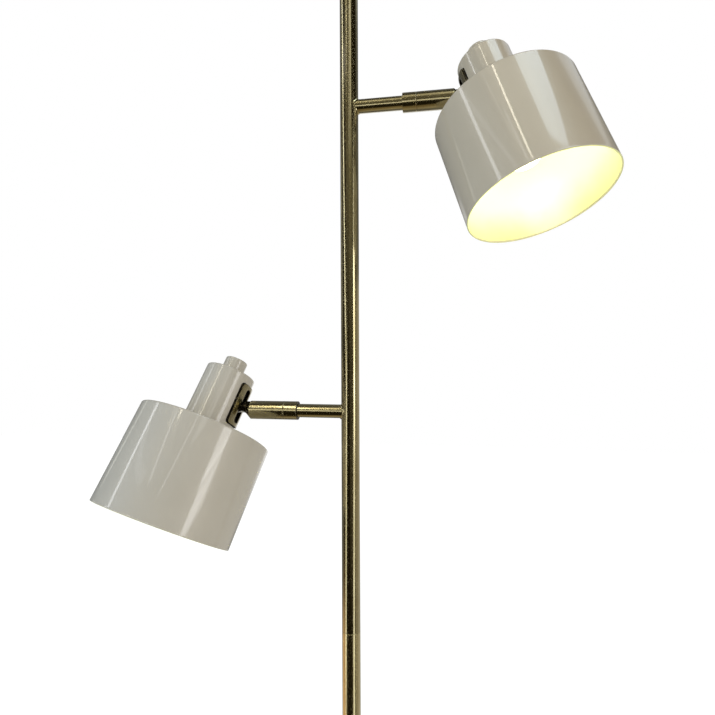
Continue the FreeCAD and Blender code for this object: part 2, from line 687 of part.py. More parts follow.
def switch_body():
    """The rotary switch under the housing's top, its bush passing up through the hole."""
    top = HOUSING_TOP - HOUSING_WALL
    body = bar(SWITCH_R, SWITCH_H, V(0, 0, top - SWITCH_H))
    bush = bar(SWITCH_BUSH_R, HOUSING_WALL + SWITCH_BUSH_RISE, V(0, 0, top))
    bore_depth = SPINDLE_DEPTH + LEAD_GAP
    bore = bar(SPINDLE_R + RUN_GAP, bore_depth + HOUSING_WALL + SWITCH_BUSH_RISE,
               V(0, 0, top - bore_depth))
    return body.fuse(bush).cut(bore)


def switch_nut():
    """The ring nut that holds the switch to the housing's top."""
    return pipe(SWITCH_NUT_R, SWITCH_BUSH_R, SWITCH_NUT_T, V(0, 0, HOUSING_TOP))


def switch_knob():
    """The lacquered knob over the switch bush, with its spindle."""
    foot = HOUSING_TOP + KNOB_GAP
    knob = softened(bar(KNOB_R, KNOB_H - KNOB_GAP, V(0, 0, foot)), KNOB_EDGE, HOUSING_TOP + KNOB_H)
    recess_top = HOUSING_TOP + SWITCH_BUSH_RISE + LEAD_GAP
    knob = knob.cut(bar(KNOB_R - KNOB_SKIRT_T, recess_top - foot, V(0, 0, foot)))
    spindle_foot = HOUSING_TOP - HOUSING_WALL - SPINDLE_DEPTH
    spindle_top = recess_top + SPINDLE_DEPTH / 2
    spindle = bar(SPINDLE_R, spindle_top - spindle_foot, V(0, 0, spindle_foot))
    return knob.fuse(spindle).removeSplitter()


def head_leads():
    """Two leads between holder and switch, and the one that comes in at the hinge."""
    switch_foot = HOUSING_TOP - HOUSING_WALL - SWITCH_H
    spread = SWITCH_R / 2
    leads = []
    for side in (-1, 1):
        start = V(spread, side * spread, HOLDER_TOP)
        leads.append(bar(THIN_LEAD_R, switch_foot - HOLDER_TOP, start))
    entry = LUG_R + LEAD_GAP - PIN_TO_AXIS + THIN_LEAD_R
    route = [V(entry, 0, -LUG_R), V(entry, 0, LUG_R), V(-spread, 0, switch_foot - HEAD_LEAD_END),
             V(-spread, 0, switch_foot)]
    leads.append(routed(route, THIN_LEAD_R, HEAD_LEAD_BEND))
    return leads


# ---------------------------------------------------------------- putting it together

def on_pole(shape, level, heading, swivel):
    """A piece of the knuckle, swivelled about its arm and set at its height on the pole."""
    placed = shape.copy()
    placed.rotate(ORIGIN, OUT, swivel)
    placed.rotate(ORIGIN, UP, heading)
    placed.translate(UP * level)
    return placed


def on_hinge(shape, level, heading, swivel, tilt):
    """A piece of the head, hung on the hinge pin, tilted, and set on the pole."""
    hung = shape.copy()
    hung.translate(V(PIN_REACH + PIN_TO_AXIS, 0, PIN_RISE))
    hung.rotate(V(PIN_REACH, 0, PIN_RISE), -SIDE, tilt)
    return on_pole(hung, level, heading, swivel)


def save_head(name, level, heading, swivel, tilt):
    """Write every piece of one lamp head, from the arm to the knob."""
    save(name + "_arm", on_pole(arm(), level, heading, 0))
    save(name + "_collar", on_pole(collar(), level, heading, 0))
    knuckle_pieces = {
        "sleeve": [sleeve()],
        "swivel_bush": [swivel_bush()],
        "tongue": [tongue()],
        "knuckle_lead": [knuckle_lead()],
    }
    for piece, solids in knuckle_pieces.items():
        save(name + "_" + piece, *[on_pole(solid, level, heading, swivel) for solid in solids])
    head_pieces = {
        "housing": [housing()],
        "bracket": [bracket()],
        "hinge_pin": [hinge_pin()],
        "hinge_washers": [hinge_washer(-1), hinge_washer(1)],
        "shade": [shade()],
        "lampholder": [lampholder()],
        "holder_contacts": list(holder_contacts()),
        "shade_ring": [shade_ring()],
        "lamp_cap": [lamp_cap()],
        "lamp_glass": [lamp_glass()],
        "switch_body": [switch_body(), switch_nut()],
        "switch_knob": [switch_knob()],
        "head_leads": head_leads(),
    }
    for piece, solids in head_pieces.items():
        save(name + "_" + piece,
             *[on_hinge(solid, level, heading, swivel, tilt) for solid in solids])


def pole_lead():
    """The lead from the gland up the pole to the junction."""
    mouth = POLE_R + GLAND_STAND
    junction_foot = LOWER_ARM_LEVEL - JUNCTION_DROP - JUNCTION_LENGTH
    return routed([V(0, mouth, GLAND_LEVEL), V(0, 0, GLAND_LEVEL), V(0, 0, junction_foot)],
                  LEAD_R, LEAD_BEND)


def arm_lead(level, heading):
    """The lead from the junction up the pole and out through one arm to its nipple."""
    junction_top = LOWER_ARM_LEVEL - JUNCTION_DROP
    offset = LEAD_R + LEAD_GAP
    lead = routed([V(offset, 0, junction_top), V(offset, 0, level), V(NIPPLE_END, 0, level)],
                  LEAD_R, LEAD_BEND)
    lead.rotate(ORIGIN, UP, heading)
    return lead


def save_pole():
    """Write the pole, its ends, its telescoping top and what runs inside it."""
    save("foot_pad", end_pad())
    save("foot_plate", end_plate(POLE_R, POLE_BORE, HUB_H).translated(UP * PAD_UNDER))
    save("lower_pole", lower_pole())
    save("cord_gland", cord_gland())
    save("pole_couplers", coupler(LOWER_SEAM), coupler(UPPER_SEAM))
    save("middle_pole", middle_pole())
    save("upper_pole", pipe(POLE_R, POLE_BORE, UPPER_POLE_LENGTH, UP * UPPER_SEAM))
    save("clamp_collar", clamp_collar())
    save("clamp_screw", clamp_screw())
    save("extension_tube", extension_tube())
    save("stop_pin", stop_pin())
    save("spring_seat", spring_seat())
    save("tension_spring", tension_spring())
    save("plunger_tube", plunger_tube())
    plate = end_plate(PLUNGER_R, PLUNGER_BORE, CEILING_HUB_H)
    plate.rotate(ORIGIN, OUT, 180)
    save("ceiling_plate", plate.translated(UP * (PLUNGER_TOP + CEILING_HUB_H)))
    pad = end_pad()
    pad.rotate(ORIGIN, OUT, 180)
    save("ceiling_pad", pad.translated(UP * (PLUNGER_TOP + CEILING_HUB_H + PAD_UNDER)))
    junction_foot = LOWER_ARM_LEVEL - JUNCTION_DROP - JUNCTION_LENGTH
    save("lead_junction", bar(JUNCTION_R, JUNCTION_LENGTH, UP * junction_foot))
    save("pole_lead", pole_lead())


os.makedirs("parts", exist_ok=True)
heads = {
    "upper": (UPPER_ARM_LEVEL, 0, UPPER_SWIVEL, UPPER_TILT),
    "lower": (LOWER_ARM_LEVEL, 180, LOWER_SWIVEL, LOWER_TILT),
}
save_pole()
for head_name, (level, heading, swivel, tilt) in heads.items():
    save_head(head_name, level, heading, swivel, tilt)
places = [(level, heading) for level, heading, swivel, tilt in heads.values()]
save("swivel_nipples", *[on_pole(swivel_nipple(), *place, 0) for place in places])
save("swivel_nuts", *[on_pole(swivel_nut(), *place, 0) for place in places])
save("arm_leads", *[arm_lead(*place) for place in places])
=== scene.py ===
import json
import math

import bmesh
import bpy
from mathutils import Matrix, Vector


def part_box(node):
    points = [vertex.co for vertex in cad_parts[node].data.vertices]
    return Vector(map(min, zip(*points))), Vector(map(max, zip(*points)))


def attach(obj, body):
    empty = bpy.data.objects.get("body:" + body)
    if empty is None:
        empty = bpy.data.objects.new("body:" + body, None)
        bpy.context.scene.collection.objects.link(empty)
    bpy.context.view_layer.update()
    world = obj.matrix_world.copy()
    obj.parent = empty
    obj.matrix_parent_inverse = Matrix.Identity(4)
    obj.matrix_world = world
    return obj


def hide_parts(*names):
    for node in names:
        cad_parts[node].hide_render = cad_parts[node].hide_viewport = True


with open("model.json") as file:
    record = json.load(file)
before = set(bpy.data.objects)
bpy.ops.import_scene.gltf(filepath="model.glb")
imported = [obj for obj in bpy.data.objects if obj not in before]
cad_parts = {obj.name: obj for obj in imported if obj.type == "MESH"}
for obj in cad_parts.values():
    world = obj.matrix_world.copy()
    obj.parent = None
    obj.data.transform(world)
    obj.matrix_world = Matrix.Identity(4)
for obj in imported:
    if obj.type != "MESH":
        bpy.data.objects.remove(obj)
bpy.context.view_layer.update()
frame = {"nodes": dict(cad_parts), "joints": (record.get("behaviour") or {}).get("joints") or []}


# ---------------------------------------------------------------- camera
# The picture is taken from half a metre in front of the pole and a little to its right, with the
# lens nearly level and just above the lower arm.
CAMERA_DISTANCE = 0.5281
CAMERA_ABOVE_LOWER_ARM = 0.0641
CAMERA_BEARING = math.radians(10.99)
CAMERA_YAW = math.radians(-0.786)
CAMERA_PITCH = math.radians(0.696)
CAMERA_ROLL = math.radians(-0.244)
PICTURE_SIZE = 715
FOCAL_PIXELS = 537.03
LENS_CENTRE_RISE = 17.87
SENSOR_WIDTH = 36.0

arm_low, arm_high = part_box("lower_arm")
lower_arm_level = (arm_low.z + arm_high.z) / 2
camera_data = bpy.data.cameras.new("camera")
camera_data.sensor_width = SENSOR_WIDTH
camera_data.lens = SENSOR_WIDTH * FOCAL_PIXELS / PICTURE_SIZE
camera_data.shift_y = -LENS_CENTRE_RISE / PICTURE_SIZE
camera = bpy.data.objects.new("camera", camera_data)
stand = Matrix.Rotation(CAMERA_BEARING, 4, "Z") @ Vector((0, -CAMERA_DISTANCE, 0))
stand.z = lower_arm_level + CAMERA_ABOVE_LOWER_ARM
camera.matrix_world = (Matrix.Translation(stand)
                       @ Matrix.Rotation(CAMERA_BEARING + CAMERA_YAW, 4, "Z")
                       @ Matrix.Rotation(math.pi / 2 + CAMERA_PITCH, 4, "X")
                       @ Matrix.Rotation(CAMERA_ROLL, 4, "Z"))
bpy.context.collection.objects.link(camera)
bpy.context.scene.camera = camera
bpy.context.scene.view_settings.view_transform = "Standard"


# ---------------------------------------------------------------- studio
# A white sweep and an even light. The brass and the lacquer show the white backdrop behind the
# lamp, and before it dark flags and lit cards, each at a bearing from the pole to the camera.
# One more card, low before the lamp, is shown by the arms and their sleeves alone.
ROOM_LIGHT = (0.80, 0.80, 0.79, 1)
BACKDROP_WHITE = (1, 1, 1, 1)
SCRIM_GREY = (0.16, 0.16, 0.15, 1)
FLAG_BLACK = (0.016, 0.012, 0.005, 1)


class Signal:
    """A socket in a shader tree. Sums on it add Math nodes, and make() adds any other node."""

    def __init__(self, tree, socket=None):
        self.tree = tree
        self.socket = socket

    def make(self, kind, settings=None, sockets=None, output=0):
        """Add a node with its settings, then the values or links of its sockets."""
        node = self.tree.nodes.new("ShaderNode" + kind)
        for name, value in (settings or {}).items():
            setattr(node, name, value)
        for key, value in (sockets or {}).items():
            if isinstance(value, Signal):
                self.tree.links.new(value.socket, node.inputs[key])
            else:
                node.inputs[key].default_value = value
        return Signal(self.tree, node.outputs[output] if node.outputs else None)

    def math(self, operation, *others):
        return self.make("Math", {"operation": operation}, dict(enumerate((self, *others))))

    def __add__(self, other):
        return self.math("ADD", other)

    def __sub__(self, other):
        return self.math("SUBTRACT", other)

    def __rsub__(self, other):
        return self.make("Math", {"operation": "SUBTRACT"}, {0: other, 1: self})

    def __mul__(self, other):
        return self.math("MULTIPLY", other)

    __radd__ = __add__
    __rmul__ = __mul__

    def mixed(self, first, second):
        """The first colour where this signal is 0 and the second where it is 1."""
        return self.make("Mix", {"data_type": "RGBA"}, {0: self, 6: first, 7: second}, 2)

    def ramped(self, low, high):
        """0 below low and 1 above high, with an easy step between them."""
        return self.make("MapRange", {"interpolation_type": "SMOOTHSTEP"},
                         {"Value": self, "From Min": low, "From Max": high})


world = bpy.data.worlds.new("studio")
bpy.context.scene.world = world
world.use_nodes = True
world.cycles.sampling_method = "NONE"
world.node_tree.nodes.clear()
studio = Signal(world.node_tree)
turned_to_camera = studio.make("Mapping", {}, {"Vector": studio.make("TexCoord"),
                                               "Rotation": (0, 0, math.pi / 2 - CAMERA_BEARING - CAMERA_YAW)})
facing = studio.make("SeparateXYZ", {}, {0: turned_to_camera}).socket.node
toward, sideways, upward = (Signal(world.node_tree, socket) for socket in facing.outputs)
bearing = sideways.math("ARCTAN2", toward) * (180 / math.pi)
height = upward.math("ARCSINE") * (180 / math.pi)


def lit_card(centre, lean, half_width, edge, low, high, colour, fade=2, spread=0):
    """A lit card: its bearing at eye level, its lean, half its width, its soft edge and its heights.

    All are in degrees. Fade is the soft edge above and below, and spread widens the card upwards."""
    off = (bearing - (height * lean + centre)).math("ABSOLUTE") - height * spread
    across = 1 - off.ramped(half_width, half_width + edge)
    along = height.ramped(low - fade, low) * (1 - height.ramped(high, high + fade))
    return (across * along).mixed((0, 0, 0, 1), (*colour, 1))


# Each card: centre, lean, half width, edge, low, high, colour, then any fade and spread.
CARDS = {
    "left_upright_strip": (-57, -1.1, 1.8, 2.4, 1, 38, (4.3, 4.4, 4.5)),
    "left_low_strip": (-44, 0.9, 3.2, 3.5, -34, -1, (2.5, 2.5, 2.4)),
    "high_middle_strip": (13, 0.1, 3.2, 4, 25, 40, (1.3, 1.3, 1.25)),
    "right_low_strip": (52.5, 0.6, 3.8, 4, -40, -1, (2.5, 2.5, 2.5)),
    "right_level_strip": (52, 0, 5, 3.5, -7, 2, (2.6, 2.6, 2.6), 4),
    "right_upright_strip": (51, 0.25, 5.5, 3.5, 3, 16, (4.2, 4.2, 4.2), 3),
    "overhead_window": (-49, 1.36, -60.5, 4, 49.5, 70, (3.0, 3.6, 4.0), 2, 1.45),
    "overhead_tube": (-7.2, -0.625, 1.3, 0.8, 38, 53, (11.0, 10.2, 8.0)),
    "high_right_edge": (22, -1.8, 1.2, 2, 37, 44, (1.2, 1.15, 1.0)),
    "left_shelf": (-68, 0, 27, 3, 27.6, 28.6, (0.8, 0.8, 0.85), 1),
    "thin_middle_strip": (1.9, -1.1, 1.0, 1.2, 28, 40, (2.2, 2.2, 2.2)),
    "thin_left_strip": (-20.2, 0.75, 1.0, 1.2, 22, 34, (2.0, 2.0, 2.0)),
    "far_left_strip": (-123, 0, 1.5, 1.5, 4, 18, (0.9, 0.9, 0.8)),
    "high_front_haze": (-6, 0, 34, 10, 18, 60, (0.15, 0.14, 0.105), 20),
    "overhead_haze": (-16, 0, 30, 20, 48, 64, (0.60, 0.57, 0.49), 9),
    "level_front_haze": (14, 0, 18, 6, -20, 20, (0.06, 0.055, 0.04), 8),
    "warm_left_floor": (-106, 0, 26, 14, -46, -29, (0.70, 0.45, 0.23), 6),
    "right_wall": (112, 0, 48, 14, -60, 6, (0.36, 0.33, 0.28)),
    "floor_below": (0, 0, 200, 10, -90, -72, (0.28, 0.22, 0.12), 14),
    "cool_right_ceiling": (126, 0, 16, 8, 36, 60, (0.5, 0.54, 0.58), 5),
}

aside = bearing.math("ABSOLUTE")
reflections = aside.ramped(85, 110).mixed(FLAG_BLACK, SCRIM_GREY)
level = height.ramped(-27, -17) * (1 - height.ramped(3, 10))
reflections = (aside.ramped(155, 165) * level).mixed(reflections, BACKDROP_WHITE)
for card in CARDS.values():
    reflections = studio.make("Mix", {"data_type": "RGBA", "blend_type": "ADD"},
                              {0: 1.0, 6: reflections, 7: lit_card(*card)}, 2)
ray = studio.make("LightPath").socket.node
straight = Signal(world.node_tree, ray.outputs["Is Camera Ray"])
straight = straight + Signal(world.node_tree, ray.outputs["Is Transmission Ray"])
in_gloss = Signal(world.node_tree, ray.outputs["Is Glossy Ray"])
even_light = studio.make("Background", {}, {"Color": ROOM_LIGHT})
gloss_light = studio.make("Background", {}, {"Color": reflections})
white = studio.make("Background", {}, {"Color": BACKDROP_WHITE})
lit = studio.make("MixShader", {}, {0: in_gloss, 1: even_light, 2: gloss_light})
studio.make("OutputWorld", {}, {"Surface": studio.make("MixShader", {}, {0: straight, 1: lit, 2: white})})

ARM_CARD_LENGTH = 1.7
ARM_CARD_WIDTH = 0.20
ARM_CARD_POWER = 1.6
ARM_CARD_WHITE = (1.0, 0.99, 0.93)
ARM_CARD_STAND = (-0.35, -0.95, 0)
ARM_CARD_ABOVE_LOWER_ARM = 0.165


def facing_pole(place, level):
    """The frame of a light at a place, aimed at the pole's axis at a level."""
    aim = Vector((0, 0, level)) - Vector(place)
    return Matrix.Translation(place) @ aim.to_track_quat("-Z", "Y").to_matrix().to_4x4()


arm_card_data = bpy.data.lights.new("arm_card", "AREA")
arm_card_data.shape = "RECTANGLE"
arm_card_data.size = ARM_CARD_LENGTH
arm_card_data.size_y = ARM_CARD_WIDTH
arm_card_data.energy = ARM_CARD_POWER
arm_card_data.color = ARM_CARD_WHITE
arm_card = bpy.data.objects.new("arm_card", arm_card_data)
card_stand = Matrix.Rotation(CAMERA_BEARING, 4, "Z") @ Vector(ARM_CARD_STAND)
card_stand.z = lower_arm_level + ARM_CARD_ABOVE_LOWER_ARM
arm_card.matrix_world = facing_pole(card_stand, card_stand.z)
bpy.context.collection.objects.link(arm_card)
lit_by_card = bpy.data.collections.new("lit_by_card")
arm_card.light_linking.receiver_collection = lit_by_card

FLOOR_HALF_WIDTH = 6.0
FLOOR_PALE = (0.80, 0.80, 0.80, 1)
FLOOR_LIFT = 0.45

floor_mesh = bpy.data.meshes.new("floor")
floor_mesh.from_pydata([(-FLOOR_HALF_WIDTH, -FLOOR_HALF_WIDTH, 0), (FLOOR_HALF_WIDTH, -FLOOR_HALF_WIDTH, 0),
                        (FLOOR_HALF_WIDTH, FLOOR_HALF_WIDTH, 0), (-FLOOR_HALF_WIDTH, FLOOR_HALF_WIDTH, 0)],
                       [], [(0, 1, 2, 3)])
floor = bpy.data.objects.new("floor", floor_mesh)
bpy.context.collection.objects.link(floor)
floor_paint = bpy.data.materials.new("floor_paint")
floor_paint.use_nodes = True
floor_paint.node_tree.nodes.clear()
floor_tree = Signal(floor_paint.node_tree)
matt = floor_tree.make("BsdfDiffuse", {}, {"Color": FLOOR_PALE})
lift = floor_tree.make("Emission", {}, {"Color": (1, 1, 1, 1),
                                        "Strength": floor_tree.make("LightPath") * FLOOR_LIFT})
floor_tree.make("OutputMaterial", {}, {"Surface": floor_tree.make("AddShader", {}, {0: matt, 1: lift})})
floor_mesh.materials.append(floor_paint)
floor.visible_glossy = False

LAMPS = {
    "cool_side": ((-1.5, -1.2, 2.5), 1.2, 16.0, (0.86, 0.95, 1.0)),
    "warm_side": ((1.7, -1.3, 1.2), 1.2, 10.5, (1.0, 0.93, 0.84)),
    "cool_low": ((-1.3, -0.9, 0.9), 0.9, 4.8, (0.06, 0.42, 1.0)),
}
for lamp_name, (place, side, power, colour) in LAMPS.items():
    lamp_data = bpy.data.lights.new(lamp_name, "AREA")
    lamp_data.size = side
    lamp_data.energy = power
    lamp_data.color = colour
    lamp = bpy.data.objects.new(lamp_name, lamp_data)
    lamp.matrix_world = facing_pole(place, lower_arm_level)
    lamp.visible_glossy = False
    bpy.context.collection.objects.link(lamp)


# ---------------------------------------------------------------- foot
# A rubber pad, moulded with a lip and grip ribs round its edge, is pushed over the flange of a
# turned brass foot, whose spigot goes up into the pole's bore.
EDGE_SOFT = 0.0004
EDGE_LEAD_IN = 0.4
TURNED_STEPS = 96


def rounded(corners, radius=EDGE_SOFT, steps=4):
    """A closed outline of (radius, height) corners with each corner eased into a small arc.

    A third number in a corner is its own arc's radius. Corners on the axis stay sharp."""
    points = []
    count = len(corners)
    for index, corner in enumerate(corners):
        here = Vector(corner[:2])
        before = Vector(corners[index - 1][:2])
        after = Vector(corners[(index + 1) % count][:2])
        size = corner[2] if len(corner) > 2 else radius
        arriving = (here - before).normalized()
        leaving = (after - here).normalized()
        turn = arriving.angle(leaving)
        if here.x < EDGE_SOFT / 10 or turn < 0.05 or size == 0:
            points.append(here)
            continue
        room = min((here - before).length, (after - here).length) * 0.45
        setback = min(size * math.tan(turn / 2), room / (1 + EDGE_LEAD_IN))
        size = setback / math.tan(turn / 2)
        start = here - arriving * setback
        inward = (leaving - arriving).normalized()
        middle = here + inward * (size / math.cos(turn / 2))
        spoke = start - middle
        side = 1 if arriving.cross(leaving) > 0 else -1
        points.append(start - arriving * setback * EDGE_LEAD_IN)
        for step in range(steps + 1):
            angle = side * turn * step / steps
            points.append(middle + Vector((spoke.x * math.cos(angle) - spoke.y * math.sin(angle),
                                           spoke.x * math.sin(angle) + spoke.y * math.cos(angle))))
        points.append(here + leaving * setback * (1 + EDGE_LEAD_IN))
    return points


def finished(name, shape, place, *materials):
    """The object of a new piece, with its place in its mesh and its faces smooth and outwards."""
    bmesh.ops.remove_doubles(shape, verts=shape.verts, dist=1e-7)
    bmesh.ops.recalc_face_normals(shape, faces=shape.faces)
    for face in shape.faces:
        face.smooth = True
    mesh = bpy.data.meshes.new(name)
    shape.to_mesh(mesh)
    shape.free()
    mesh.transform(place)
    for material in materials:
        mesh.materials.append(material)
    piece = bpy.data.objects.new(name, mesh)
    bpy.context.collection.objects.link(piece)
    return piece


def turned(outline, steps=TURNED_STEPS):
    """The shape that a closed outline of (radius, height) points makes when it is turned about Z."""
    shape = bmesh.new()
    rings = []
    for point in outline:
        if point[0] < 1e-6:
            rings.append([shape.verts.new((0, 0, point[1]))] * steps)
            continue
        ring = []
        for step in range(steps):
            angle = 2 * math.pi * step / steps
            ring.append(shape.verts.new((point[0] * math.cos(angle), point[0] * math.sin(angle), point[1])))
        rings.append(ring)
    for lower, upper in zip(rings, rings[1:] + rings[:1]):
        for step in range(steps):
            following = (step + 1) % steps
            corners = [lower[step], lower[following], upper[following], upper[step]]
            distinct = list(dict.fromkeys(corners))
            if len(distinct) > 2:
                shape.faces.new(distinct)
    return shape


def fitted(piece, body, slot, *nodes):
    """The piece, riding on its body, in place of these nodes, which are hidden; its slot is not used."""
    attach(piece, body)
    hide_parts(*nodes)
    return piece


def new_material(name):
    """An empty material and the start of its node tree."""
    material = bpy.data.materials.new(name)
    material.use_nodes = True
    material.node_tree.nodes.clear()
    return material, Signal(material.node_tree)


def surfaced(material, **sockets):
    """The material, ended in a Principled surface whose sockets have these values or links."""
    tree = Signal(material.node_tree)
    named = {name.replace("_", " "): value for name, value in sockets.items()}
    shader = tree.make("BsdfPrincipled", {}, named)
    tree.make("OutputMaterial", {}, {"Surface": shader})
    return material


def on_piece(tree, place=Matrix(), stretch=(1, 1, 1)):
    """Object coordinates in metres, turned to a piece's own axes and stretched along them."""
    back = place.inverted()
    at_home = tree.make("Mapping", {}, {"Vector": tree.make("TexCoord", {}, {}, 3),
                                        "Location": back.to_translation(),
                                        "Rotation": back.to_euler()})
    return at_home.make("Mapping", {}, {"Vector": at_home, "Scale": stretch})


def noise(tree, where, scale, detail=3.0, roughness=0.55):
    """Cloudy grey noise with features about 1/scale of a metre across."""
    return tree.make("TexNoise", {}, {"Vector": where, "Scale": scale, "Detail": detail,
                                      "Roughness": roughness})


def bumped(tree, height_signal, distance, strength=1.0):
    """A normal pushed in and out by a height signal over a distance in metres."""
    return tree.make("Bump", {}, {"Strength": strength, "Distance": distance, "Height": height_signal})


def rubber():
    """Black moulded rubber, dusty and a little worn."""
    material, tree = new_material("rubber")
    where = on_piece(tree)
    dust = noise(tree, where, 260)
    grain = noise(tree, where, 2600, 2)
    colour = dust.mixed((0.012, 0.012, 0.012, 1), (0.035, 0.034, 0.032, 1))
    return surfaced(material, Base_Color=colour, Roughness=dust * 0.25 + 0.55,
                    Normal=bumped(tree, grain, 0.00008, 0.6))


BRASS_CLEAN = (0.47, 0.41, 0.225)
BRASS_BROWNED = (0.36, 0.30, 0.14)
BRASS_SPECK = (0.16, 0.11, 0.05, 1)


def aged_brass(name, grain=(1, 1, 1), place=Matrix(), light=1.0, roughness=0.14):
    """Lacquered antique brass, with brown tarnish in soft clouds and fine marks drawn out by grain."""
    material, tree = new_material(name)
    where = on_piece(tree, place)
    drawn = on_piece(tree, place, grain)
    cloud = noise(tree, where, 22, 4)
    streak = noise(tree, drawn, 900, 3)
    speck = noise(tree, where, 900, 2).ramped(0.66, 0.76)
    tarnish = (cloud * 0.55 + streak * 0.45).ramped(0.36, 0.68)
    clean, browned = ((*(value * light for value in colour), 1) for colour in (BRASS_CLEAN, BRASS_BROWNED))
    metal = (speck * 0.5).mixed(tarnish.mixed(clean, browned), BRASS_SPECK)
    return surfaced(material, Base_Color=metal, Metallic=1.0,
                    Roughness=streak * 0.06 + cloud * 0.04 + roughness, Coat_Weight=1.0, Coat_Roughness=0.08,
                    Normal=bumped(tree, streak, 0.000004, 0.5))


GRIP_RIBS = 48
GRIP_RIB_RADIUS = 0.0008


def ring_of_ribs(name, count, ring_radius, rib_radius, rib_length, level, material):
    """Upright round ribs, evenly set round a ring: a node tree with named sizes, made a plain mesh."""
    tree = bpy.data.node_groups.new(name + "_nodes", "GeometryNodeTree")
    sizes = {"Count": ("NodeSocketInt", count), "Ring Radius": ("NodeSocketFloat", ring_radius),
             "Rib Radius": ("NodeSocketFloat", rib_radius), "Rib Length": ("NodeSocketFloat", rib_length),
             "Level": ("NodeSocketFloat", level)}
    for label, (kind, value) in sizes.items():
        tree.interface.new_socket(label, in_out="INPUT", socket_type=kind)
    tree.interface.new_socket("Geometry", in_out="OUTPUT", socket_type="NodeSocketGeometry")
    given = tree.nodes.new("NodeGroupInput")
    ring = tree.nodes.new("GeometryNodeMeshCircle")
    rib = tree.nodes.new("GeometryNodeMeshCylinder")
    rib.inputs["Vertices"].default_value = 8
    lifted = tree.nodes.new("GeometryNodeTransform")
    offset = tree.nodes.new("ShaderNodeCombineXYZ")
    placed = tree.nodes.new("GeometryNodeInstanceOnPoints")
    real = tree.nodes.new("GeometryNodeRealizeInstances")
    coated = tree.nodes.new("GeometryNodeSetMaterial")
    coated.inputs["Material"].default_value = material
    result = tree.nodes.new("NodeGroupOutput")
    for source, target in [
            (given.outputs["Count"], ring.inputs["Vertices"]),
            (given.outputs["Ring Radius"], ring.inputs["Radius"]),
            (given.outputs["Rib Radius"], rib.inputs["Radius"]),
            (given.outputs["Rib Length"], rib.inputs["Depth"]),
            (given.outputs["Level"], offset.inputs["Z"]),
            (offset.outputs[0], lifted.inputs["Translation"]),
            (ring.outputs[0], lifted.inputs["Geometry"]),
            (lifted.outputs[0], placed.inputs["Points"]),
            (rib.outputs["Mesh"], placed.inputs["Instance"]),
            (placed.outputs[0], real.inputs[0]),
            (real.outputs[0], coated.inputs["Geometry"]),
            (coated.outputs[0], result.inputs[0])]:
        tree.links.new(source, target)
    carrier = bpy.data.objects.new(name, bpy.data.meshes.new(name))
    bpy.context.collection.objects.link(carrier)
    modifier = carrier.modifiers.new("ribs", "NODES")
    modifier.node_group = tree
    for item in tree.interface.items_tree:
        if item.in_out == "INPUT":
            modifier[item.identifier] = sizes[item.name][1]
    evaluated = carrier.evaluated_get(bpy.context.evaluated_depsgraph_get())
    mesh = bpy.data.meshes.new_from_object(evaluated)
    bpy.data.objects.remove(carrier)
    shape = bmesh.new()
    shape.from_mesh(mesh)
    bpy.data.meshes.remove(mesh)
    return shape


def joined(shape, extra):
    """Two shapes as one."""
    spare = bpy.data.meshes.new("spare")
    extra.to_mesh(spare)
    extra.free()
    shape.from_mesh(spare)
    bpy.data.meshes.remove(spare)
    return shape


PAD_LIP = 0.003
PAD_UNDER = 0.004
PAD_TOP_ROUND = 0.0015
PAD_GROOVES = 3
PAD_GROOVE_DEPTH = 0.0006
PAD_GROOVE_HALF = 0.0012
PAD_GROOVE_FLOOR_HALF = 0.0006

black_rubber = rubber()


def pad_shape(outside, flange, height):
    """A disc with a lip round a flange's recess, and rings grooved into its resting face."""
    corners = [(0, 0)]
    for groove in range(PAD_GROOVES):
        middle = outside * (groove + 1) / (PAD_GROOVES + 1)
        corners += [(middle - PAD_GROOVE_HALF, 0), (middle - PAD_GROOVE_FLOOR_HALF, PAD_GROOVE_DEPTH),
                    (middle + PAD_GROOVE_FLOOR_HALF, PAD_GROOVE_DEPTH), (middle + PAD_GROOVE_HALF, 0)]
    wall = outside - GRIP_RIB_RADIUS
    corners += [(wall, 0, 0.0008), (wall, height, PAD_TOP_ROUND), (flange, height, 0.0005),
                (flange, PAD_UNDER), (0, PAD_UNDER)]
    shape = turned(rounded(corners, 0.0002))
    rib_length = height - 2 * PAD_TOP_ROUND
    ribs = ring_of_ribs("pad_ribs", GRIP_RIBS, wall, GRIP_RIB_RADIUS * 0.95, rib_length,
                        height / 2 - PAD_TOP_ROUND / 4, black_rubber)
    return joined(shape, ribs)


pad_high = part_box("foot_pad")[1]
plate_low, plate_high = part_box("foot_plate")
pole_low, pole_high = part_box("lower_pole")
PAD_RADIUS = pad_high.x
PLATE_RADIUS = plate_high.x
POLE_RADIUS = pole_high.x
foot_pad = finished("foot_pad_moulding", pad_shape(PAD_RADIUS, PLATE_RADIUS, pad_high.z), Matrix(),
                    black_rubber)
fitted(foot_pad, "pole", "rubber", "foot_pad")

PLATE_THICK = 0.004
HUB_LIP = 0.0035
HUB_FLARE = 0.005
RING_CUT_INSET = 0.0044
RING_CUT_HALF = 0.0004
SPIGOT_FIT = 0.00005


